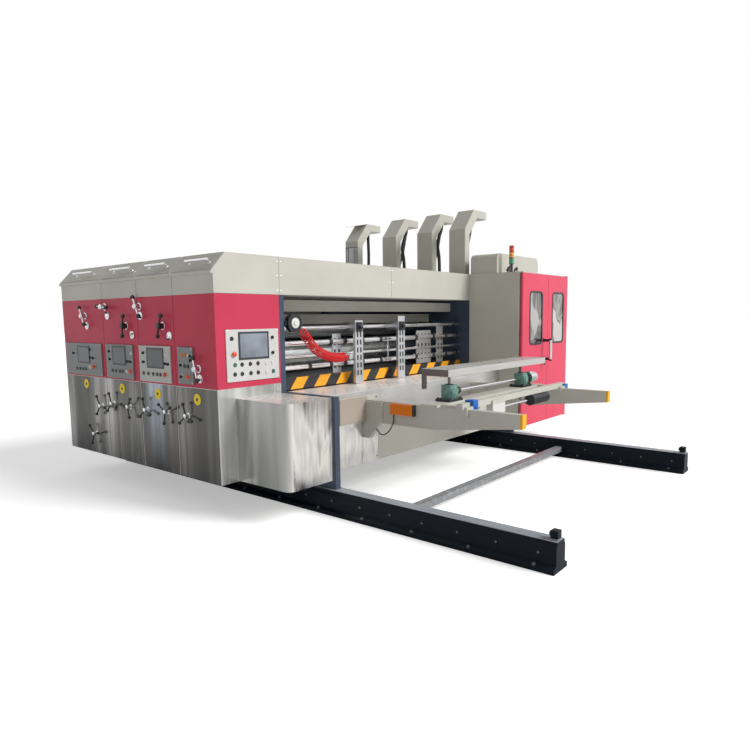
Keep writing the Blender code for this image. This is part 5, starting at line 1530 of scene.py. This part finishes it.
class SLOTTER_OT_back_stop(bpy.types.Operator):
    """Add the caps, clamps, jacks, couplings, motors, covers and sensor of the back stop."""

    bl_idname = "slotter.back_stop"
    bl_label = "Back stop"

    def execute(self, context):
        black = moulded("drive_black", chosen("black"))
        green = cast_metal("jack_casing", JACK_GREEN)
        self.add_beam_ends()
        for number, x in enumerate(JACKS):
            self.add_jack(number + 1, x, black, green)
        self.add_drives()
        self.add_sensor(black)
        self.add_bar_trim(black)
        return {"FINISHED"}

    def add_beam_ends(self):
        """Add the beams' yellow end caps and the carriage's clamps beside the beams."""
        yellow = painted("cap_yellow", (0.90, 0.46, 0.015), 0.4)
        blue = painted("clamp_blue", (0.01, 0.13, 0.52), 0.35)
        back, top = BEAM_NOSE + CAP, BEAM_TOP + CAP_SKIN
        for node, left, right, drop in BEAMS:
            outline = ((BEAM_NOSE, top), (back, top), (back, BEAM_FOOT - CAP * CAP_SLOPE),
                       (BEAM_NOSE, BEAM_FOOT - CAP_SKIN))
            cap = add_profile(outline, "X", left - CAP_SKIN, right + CAP_SKIN)
            finish_piece(round_edges(cap, 0.003), f"{node}_cap", yellow, frame_body(node))
            clamp = [add_block((right + 0.0055, -1.492, 0.812 - drop),
                               (right + 0.085, -1.408, 0.918 - drop), 0.008, 3),
                     add_turned(CLAMP_SCREW, (right + 0.045, -1.492, 0.852 - drop), TO_FRONT, 16)]
            finish_piece(clamp, f"{node}_clamps", blue, "carriage")

    def add_jack(self, number, x, black, green):
        """Add one screw jack's base, coupling, cap and casing."""
        base = add_block((x - 0.101, JACK_Y - 0.076, JACK_BASE_Z),
                         (x + 0.101, JACK_Y + 0.076, JACK_BASE_TOP), 0.003)
        bolts = [add_bolt_head((x + a, JACK_Y + b, JACK_BASE_TOP), UP, 0.010, 0.009)
                 for a in (-0.085, 0.085) for b in (-0.06, 0.06)]
        coupling = add_turned(COUPLING, (x + 0.055, JACK_Y, JACK_AXIS_Z), TO_DRIVE, 20)
        cap = add_turned(JACK_CAP, (x, JACK_Y, JACK_BASE_Z + 0.137), UP, 20)
        for name, made in (("base", [base, *bolts]), ("coupling", coupling), ("cap", cap)):
            finish_piece(made, f"jack_{name}_{number}", black, "carriage")
        casing = [add_turned(JACK_FACE, (x, JACK_Y - 0.054, JACK_AXIS_Z), TO_FRONT, 28)]
        casing += [add_bolt_head((x + 0.036 * a, JACK_Y - 0.064, JACK_AXIS_Z + 0.036 * b),
                                 TO_FRONT, 0.006, 0.004) for a, b in JACK_BOLTS]
        casing.append(add_turned(JACK_NECK, (x, JACK_Y, JACK_BASE_Z + 0.118), UP, 28))
        casing += [add_block((x + a - 0.004, JACK_Y - 0.062, JACK_BASE_Z + 0.022),
                             (x + a + 0.004, JACK_Y - 0.050, JACK_BASE_Z + 0.05), 0.002)
                   for a in (-0.040, 0.040)]
        finish_piece(casing, f"jack_casing_{number}", green, "carriage")

    def add_drives(self):
        """Add the lift's shaft and motor, and the travel's motor, rod and gear cover."""
        chrome = turned_metal("shaft_chrome", (0.78, 0.78, 0.79), 0.12)
        silver = turned_metal("motor_silver", (0.64, 0.65, 0.67), 0.3)
        left, right = JACKS
        shaft = add_bar((left + 0.146, JACK_Y, JACK_AXIS_Z), (right - 0.056, JACK_Y, JACK_AXIS_Z),
                        0.0146)
        finish_piece(shaft, "cross_shaft_bar", chrome, "carriage")
        motor = add_turned(LIFT_MOTOR, (right + 0.14, JACK_Y, JACK_AXIS_Z), TO_DRIVE, 28)
        box = add_block((right + 0.165, JACK_Y - 0.03, JACK_AXIS_Z + 0.045),
                        (right + 0.25, JACK_Y + 0.03, JACK_AXIS_Z + 0.0605), 0.005)
        finish_piece([motor, box], "lift_motor_case", silver, "carriage")
        motor = add_turned(TRAVEL_MOTOR, (2.4297, *TRAVEL_AXIS), TO_DRIVE)
        finish_piece(motor, "travel_motor_case", moulded("motor_dark", (0.010, 0.011, 0.013)),
                     "carriage")
        rod = [(x, *TRAVEL_AXIS) for x in TRAVEL_ROD]
        finish_piece(add_bar(*rod, 0.0126), "travel_rod", chrome, "carriage")
        finish_piece(add_block(*GEAR_COVER, 0.012, 3), "gear_cover",
                     painted("cover_white", (0.70, 0.69, 0.66), 0.4), "carriage")

    def add_sensor(self, black):
        """Add the orange sensor's case and its dark front end."""
        body = frame_body("operator_beam")
        case = sink_face(add_block(*SENSOR_CASE, 0.007, 3), TO_OPERATOR, 0.010, 0.0008)
        finish_piece(case, "sensor_case", painted("sensor_orange", (0.90, 0.22, 0.01), 0.35),
                     body)
        finish_piece(add_block(*SENSOR_END, 0.006, 3), "sensor_end", black, body)

    def add_bar_trim(self, black):
        """Add the lifting bar's top sheet and screws."""
        screws = [add_stud((x, y, 1.135), UP, 0.009, 0.004, 10)
                  for x in BAR_SCREWS for y in (-1.11, -0.91)]
        finish_piece(screws, "lifting_bar_screws", black, "lifting_bar")
        finish_piece(add_block(*BAR_SHEET, 0.0006, 1), "lifting_bar_top",
                     brushed_sheet("bar_sheet", (0.60, 0.59, 0.57), "X"), "lifting_bar")


# Cabinet

DOOR_FACE = -0.714
# Windows: door, left edge, finish's name, and its dark, middle and pale tones of painted reflection
WINDOWS = (
    ("left_door", 3.905, "window_dark",
     ((0.03, 0.03, 0.032), (0.14, 0.12, 0.10), (0.40, 0.39, 0.37))),
    ("right_door", 4.53, "window_pale",
     ((0.05, 0.05, 0.05), (0.34, 0.32, 0.29), (0.55, 0.53, 0.50))),
)
WINDOW_WIDTH = 0.33
WINDOW_FOOT, WINDOW_TOP = 1.25, 1.87
GRIP_X = 4.285
GRIP_Y = DOOR_FACE - 0.095
DOOR_LOCK = ((0.0, 0.017), (0.004, 0.017), (0.006, 0.014), (0.010, 0.009))
LIGHT_PLACE = (3.85, -0.49)
CABINET_TOP = 2.1004
# Signal lamps: name, colour and foot
LAMPS = (
    ("green", (0.01, 0.30, 0.12), 2.206), ("amber", (0.85, 0.33, 0.01), 2.276),
    ("red", (0.75, 0.012, 0.01), 2.346))
LAMP_LENS = (
    (0.0, 0.0285), (0.004, 0.0295), (0.018, 0.0290), (0.020, 0.0280), (0.022, 0.0290),
    (0.040, 0.0290), (0.042, 0.0280), (0.044, 0.0290), (0.060, 0.0295), (0.064, 0.0285))
LAMP_RING = ((0.0, 0.0302), (0.001, 0.0308), (0.005, 0.0308), (0.006, 0.0302))
LAMP_FOOT = ((0.0, 0.0375), (0.012, 0.0375), (0.016, 0.030), (0.020, 0.017), (0.098, 0.0155))
LAMP_CAP = ((0.0, 0.0296), (0.006, 0.0285), (0.0095, 0.018))
# Horns: distance aside and size
HORNS = ((-0.115, 1.35), (0.058, 1.0))
# Along in metres, radius to be multiplied by the horn's size
HORN = (
    (0.0, 0.012), (0.012, 0.014), (0.026, 0.026), (0.030, 0.027), (0.030, 0.022), (0.022, 0.010))
DUCT_FRONT, DUCT_BACK = 1.893, 2.107
# Tones of the duct window's painted reflections.
DUCT_GLASS = ((0.42, 0.43, 0.42), (0.62, 0.63, 0.62), (0.78, 0.79, 0.78))
DUCT_FLAP = ((3.765, 2.874), (3.967, 2.9165), (3.967, 2.9195), (3.765, 2.877))


class SLOTTER_OT_cabinet(bpy.types.Operator):
    """Add the windows, seals, door handle, signal lamps, horns and duct window."""

    bl_idname = "slotter.cabinet"
    bl_label = "Cabinet"

    def execute(self, context):
        black = moulded("cabinet_black", chosen("black"), 0.35)
        seal = moulded("window_seal", (0.02, 0.02, 0.022), 0.45)
        for door, left, name, glass in WINDOWS:
            pane = add_block(
                (left - 0.004, DOOR_FACE + 0.004, WINDOW_FOOT - 0.004),
                (left + WINDOW_WIDTH + 0.004, DOOR_FACE + 0.0115, WINDOW_TOP + 0.004))
            finish_piece(round_edges(pane, 0.0015), f"{door}_window", window_glass(name, *glass),
                         door)
            finish_piece(self.add_seal(left), f"{door}_seal", seal, door)
        self.add_door_handle(black)
        self.add_stack_light(black)
        self.add_duct_window()
        return {"FINISHED"}

    def add_seal(self, left):
        """Add the rubber seal about a window as a frame with round corners."""
        right = left + WINDOW_WIDTH
        rim = add_block((left - 0.013, DOOR_FACE - 0.004, WINDOW_FOOT - 0.013),
                        (right + 0.013, DOOR_FACE + 0.004, WINDOW_TOP + 0.013))
        cut = add_block((left + 0.008, DOOR_FACE - 0.02, WINDOW_FOOT + 0.008),
                        (right - 0.008, DOOR_FACE + 0.02, WINDOW_TOP - 0.008))
        for item, corner in ((rim, 0.060), (cut, 0.045)):
            shape = open_edit(item)
            for line in shape.edges:
                along = (line.verts[0].co - line.verts[1].co).normalized()
                line.select_set(abs(along.y) > 0.9)
            bmesh.update_edit_mesh(item.data)
            bpy.ops.mesh.bevel(offset=corner, segments=6)
            bpy.ops.object.mode_set(mode="OBJECT")
        step = rim.modifiers.new("opening", "BOOLEAN")
        step.operation = "DIFFERENCE"
        step.object = cut
        apply_all(rim)
        bpy.data.objects.remove(cut, do_unlink=True)
        return round_edges(rim, 0.0015)

    def add_door_handle(self, black):
        """Add the left door's upright handle with its ends, feet and lock."""
        ends = []
        for z, lift in ((1.031, -0.020), (1.309, 0.020)):
            ends.append(add_bar((GRIP_X, GRIP_Y, z), (GRIP_X, GRIP_Y, z - lift), 0.0205, 18, 0.004))
        for z in (1.056, 1.284):
            ends.append(add_block((GRIP_X - 0.0095, GRIP_Y - 0.003, z - 0.016),
                                  (GRIP_X + 0.0095, DOOR_FACE + 0.001, z + 0.016), 0.005, 3))
            ends.append(add_block((GRIP_X - 0.023, DOOR_FACE - 0.004, z - 0.026),
                                  (GRIP_X + 0.023, DOOR_FACE + 0.0005, z + 0.026), 0.002))
        finish_piece(ends, "door_handle_ends", black, "left_door")
        grip = add_bar((GRIP_X, GRIP_Y, 1.052), (GRIP_X, GRIP_Y, 1.288), 0.0196, 20)
        steel = turned_metal("handle_steel", (0.72, 0.72, 0.72), 0.25)
        finish_piece(grip, "door_handle_grip", steel, "left_door")
        lock = add_turned(DOOR_LOCK, (GRIP_X + 0.04, DOOR_FACE, 0.99), TO_FRONT, 20)
        finish_piece(lock, "door_lock", black, "left_door")

    def add_stack_light(self, black):
        """Add the signal lamp's lenses, its body and the two horns."""
        body = frame_body("stack_light")
        x, y = LIGHT_PLACE
        for name, colour, low in LAMPS:
            lens = add_turned(LAMP_LENS, (x, y, low), UP)
            finish_piece(lens, f"lamp_{name}", lamp_lens(f"lens_{name}", colour), body)
        case = [add_turned(profile, (x, y, z), UP) for profile, z in (
            (LAMP_FOOT, CABINET_TOP), (LAMP_CAP, 2.410), (LAMP_RING, 2.2), (LAMP_RING, 2.27),
            (LAMP_RING, 2.34))]
        finish_piece(case, "lamp_body", black, body)
        horns = []
        for aside, size in HORNS:
            place = (x + aside, y - 0.012, 2.145)
            horns.append(add_turned(scaled(HORN, size), place, TO_FRONT, 20))
            horns.append(add_bar((place[0], place[1], CABINET_TOP), (place[0], place[1], 2.14),
                                 0.008))
        horns.append(add_bar((x - 0.115, y + 0.004, 2.128), (x - 0.03, y + 0.004, 2.128), 0.010))
        finish_piece(horns, "lamp_horns", black, body)

    def add_duct_window(self):
        """Add the framed opening and the raised flap of the rearmost duct."""
        face, front, back = DRIVE_PLATE_X, DUCT_FRONT, DUCT_BACK
        pane = add_block((face - 0.0012, front, 2.112), (face + 0.003, back, 2.575), 0.0008, 1)
        glass = window_glass("duct_glass", *DUCT_GLASS)
        bars = [add_block((face - 0.006, y - 0.005, 2.104),
                          (face + 0.001, y + 0.005, 2.585), 0.0015)
                for y in (front, front + 0.045, back - 0.045, back)]
        bars += [add_block((face - 0.006, front - 0.005, z - 0.005),
                           (face + 0.001, back + 0.005, z + 0.005), 0.0015)
                 for z in (2.114, 2.58)]
        flap = round_edges(add_profile(DUCT_FLAP, "Y", 1.8815, 2.1185), 0.0008, 1)
        for name, made, finish in (
                ("window", pane, glass),
                ("window_bars", bars, painted("duct_bars", (0.16, 0.17, 0.18), 0.4)),
                ("flap", flap, painted("flap_beige", chosen("beige"), 0.4))):
            finish_piece(made, f"duct_{name}", finish, "die_cutter")


# Rails

RAIL_MIDDLES = (("operator_rail", 0.6725), ("drive_rail", 3.7275))
SIDE_BOLTS = 16
ANCHOR_BOLTS = 11
STOP_PAD = ((0.0, 0.016), (0.004, 0.018), (0.012, 0.018), (0.016, 0.013))


class SLOTTER_OT_rails(bpy.types.Operator):
    """Add the rails' side bolts, anchor bolts and stop pads."""

    bl_idname = "slotter.rails"
    bl_label = "Rails"

    def execute(self, context):
        steel = cast_metal("bolt_steel", (0.12, 0.125, 0.13))
        black = moulded("stop_black", chosen("black"), 0.45)
        for node, middle in RAIL_MIDDLES:
            body = frame_body(node)
            foot = (middle, 0.0, 0.0)
            places = []
            for step in range(SIDE_BOLTS):
                y = -2.42 + 0.30 * step
                places.append((0.0665, y, 0.115))
                places.append(Matrix.Translation((-0.0665, y, 0.115)) @ flip_about(at(*foot)))
            bolts = copies(add_bolt_head(foot, TO_DRIVE, 0.009, 0.007), places)
            finish_piece(bolts, f"{node}_side_bolts", steel, body)
            places = [(side * 0.085, -2.40 + 0.48 * step, 0.033)
                      for step in range(ANCHOR_BOLTS) for side in (-1.0, 1.0)]
            bolts = copies(add_bolt_head(foot, UP, 0.013, 0.016), places)
            finish_piece(bolts, f"{node}_anchor_bolts", steel, body)
            pad = add_turned(STOP_PAD, (middle, -2.4805, 0.232), (0.0, 1.0, 0.0), 16)
            finish_piece(pad, f"{node}_stop_pad", black, body)
        return {"FINISHED"}


def flip_about(centre):
    """Return a half turn about the upright line through a world place."""
    turn = Matrix.Rotation(math.pi, 4, "Z")
    return Matrix.Translation(centre) @ turn @ Matrix.Translation(-centre)


# Finishes of the frame's own nodes

class SLOTTER_OT_finishes(bpy.types.Operator):
    """Give every piece of the frame its finish."""

    bl_idname = "slotter.finishes"
    bl_label = "Finishes"

    def execute(self, context):
        slots = slot_finishes()
        special = node_finishes()
        for entry in frame["record"]["subparts"]:
            node = entry["node"]
            materials = frame["nodes"][node].data.materials
            materials.clear()
            materials.append(special.get(node) or slots[entry["material_slot"]])
        return {"FINISHED"}


def slot_finishes():
    """Return one finish for each of the record's slots."""
    return {
        "panel_beige": painted("panel_beige", chosen("beige"), 0.40),
        "signal_red": painted("signal_red", chosen("red"), 0.32, 0.14),
        "brushed_steel": polished_sheet("brushed_steel", chosen("steel")),
        "frame_navy": painted("frame_navy", chosen("navy"), 0.38, 0.3, 0.25),
        "rail_black": rail_paint("rail_black", (0.0035, 0.007, 0.013)),
        "chrome": turned_metal("chrome", (0.70, 0.70, 0.71), 0.24),
        "aluminium": turned_metal("aluminium", (0.62, 0.63, 0.65), 0.34),
        "gearbox_green": cast_metal("gearbox_green", JACK_GREEN),
        "hose_red": moulded("hose_red", HOSE_RED, 0.28),
        "hose_black": moulded("hose_black", HOSE_BLACK, 0.5),
        "lamp_red": moulded("lamp_red", (0.80, 0.03, 0.02), 0.2),
        "hazard_yellow": hazard_stripes(
            "hazard_yellow", chosen("yellow"), chosen("black"), chosen("stripe")),
        "knob_black": moulded("knob_black", chosen("black"), 0.35),
        "cross_steel": cast_metal("cross_steel", (0.26, 0.27, 0.28)),
    }


def node_finishes():
    """Return the finishes of nodes that differ from their slot's."""
    # Painted light: the covers' finish paints reflections, shade towards the foot and a highlight
    # on the front.
    covers = mirror_sheet("cover_mirror", (0.150, 0.148, 0.142))
    frames = framed_ties("frame_paint", chosen("navy"), chosen("beige"))
    levers = moulded("lever_black", chosen("black"), 0.3)
    # Painted light: the front-facing doors get a lighter copy of the housings' red.
    painted_lit_doors = painted("door_red", shade(chosen("red"), 1.3), 0.3, 0.2)
    special = {f"{unit}_lower_cover": covers for unit in UNITS}
    special.update({f"{unit}_frame": frames for unit in UNITS})
    special.update({
        # Painted light: the guard's finish paints reflections on its front and top and shade on its
        # operator side.
        "feeder_guard": guard_mirror("guard_mirror", (0.62, 0.60, 0.57)),
        # Painted shade: the lifting bar's finish paints its operator end and underside dark.
        "lifting_bar": bar_finish("lifting_bar_finish", (0.58, 0.565, 0.54)),
        "hand_lever_3": levers, "hand_lever_5": levers, "left_door": painted_lit_doors, "right_door": painted_lit_doors})
    return special


class SLOTTER_PT_panel(bpy.types.Panel):
    """Lists the pieces of the finish."""

    bl_label = "Slotter finish"
    bl_space_type = "VIEW_3D"
    bl_region_type = "UI"
    bl_category = "Slotter"

    def draw(self, context):
        for operator in OPERATORS:
            self.layout.operator(operator.bl_idname)
        for name in SlotterSettings.__annotations__:
            self.layout.prop(context.scene.slotter, name)


OPERATORS = (
    SLOTTER_OT_stage,
    SLOTTER_OT_cords,
    SLOTTER_OT_panels,
    SLOTTER_OT_handles,
    SLOTTER_OT_hoods,
    SLOTTER_OT_front,
    SLOTTER_OT_mouth,
    SLOTTER_OT_rolls,
    SLOTTER_OT_back_stop,
    SLOTTER_OT_cabinet,
    SLOTTER_OT_rails,
    SLOTTER_OT_finishes,
)


def register():
    """Register the settings, operators and panel."""
    for item in (SlotterSettings, *OPERATORS, SLOTTER_PT_panel):
        bpy.utils.register_class(item)
    bpy.types.Scene.slotter = bpy.props.PointerProperty(type=SlotterSettings)


def unregister():
    """Remove the settings, operators and panel."""
    del bpy.types.Scene.slotter
    for item in (SLOTTER_PT_panel, *reversed(OPERATORS), SlotterSettings):
        bpy.utils.unregister_class(item)


def main():
    """Make every piece in order."""
    register()
    for operator in OPERATORS:
        group, name = operator.bl_idname.split(".")
        result = getattr(getattr(bpy.ops, group), name)()
        if result != {"FINISHED"}:
            raise RuntimeError(f"{operator.bl_idname} did not finish")


if __name__ == "__main__":
    main()
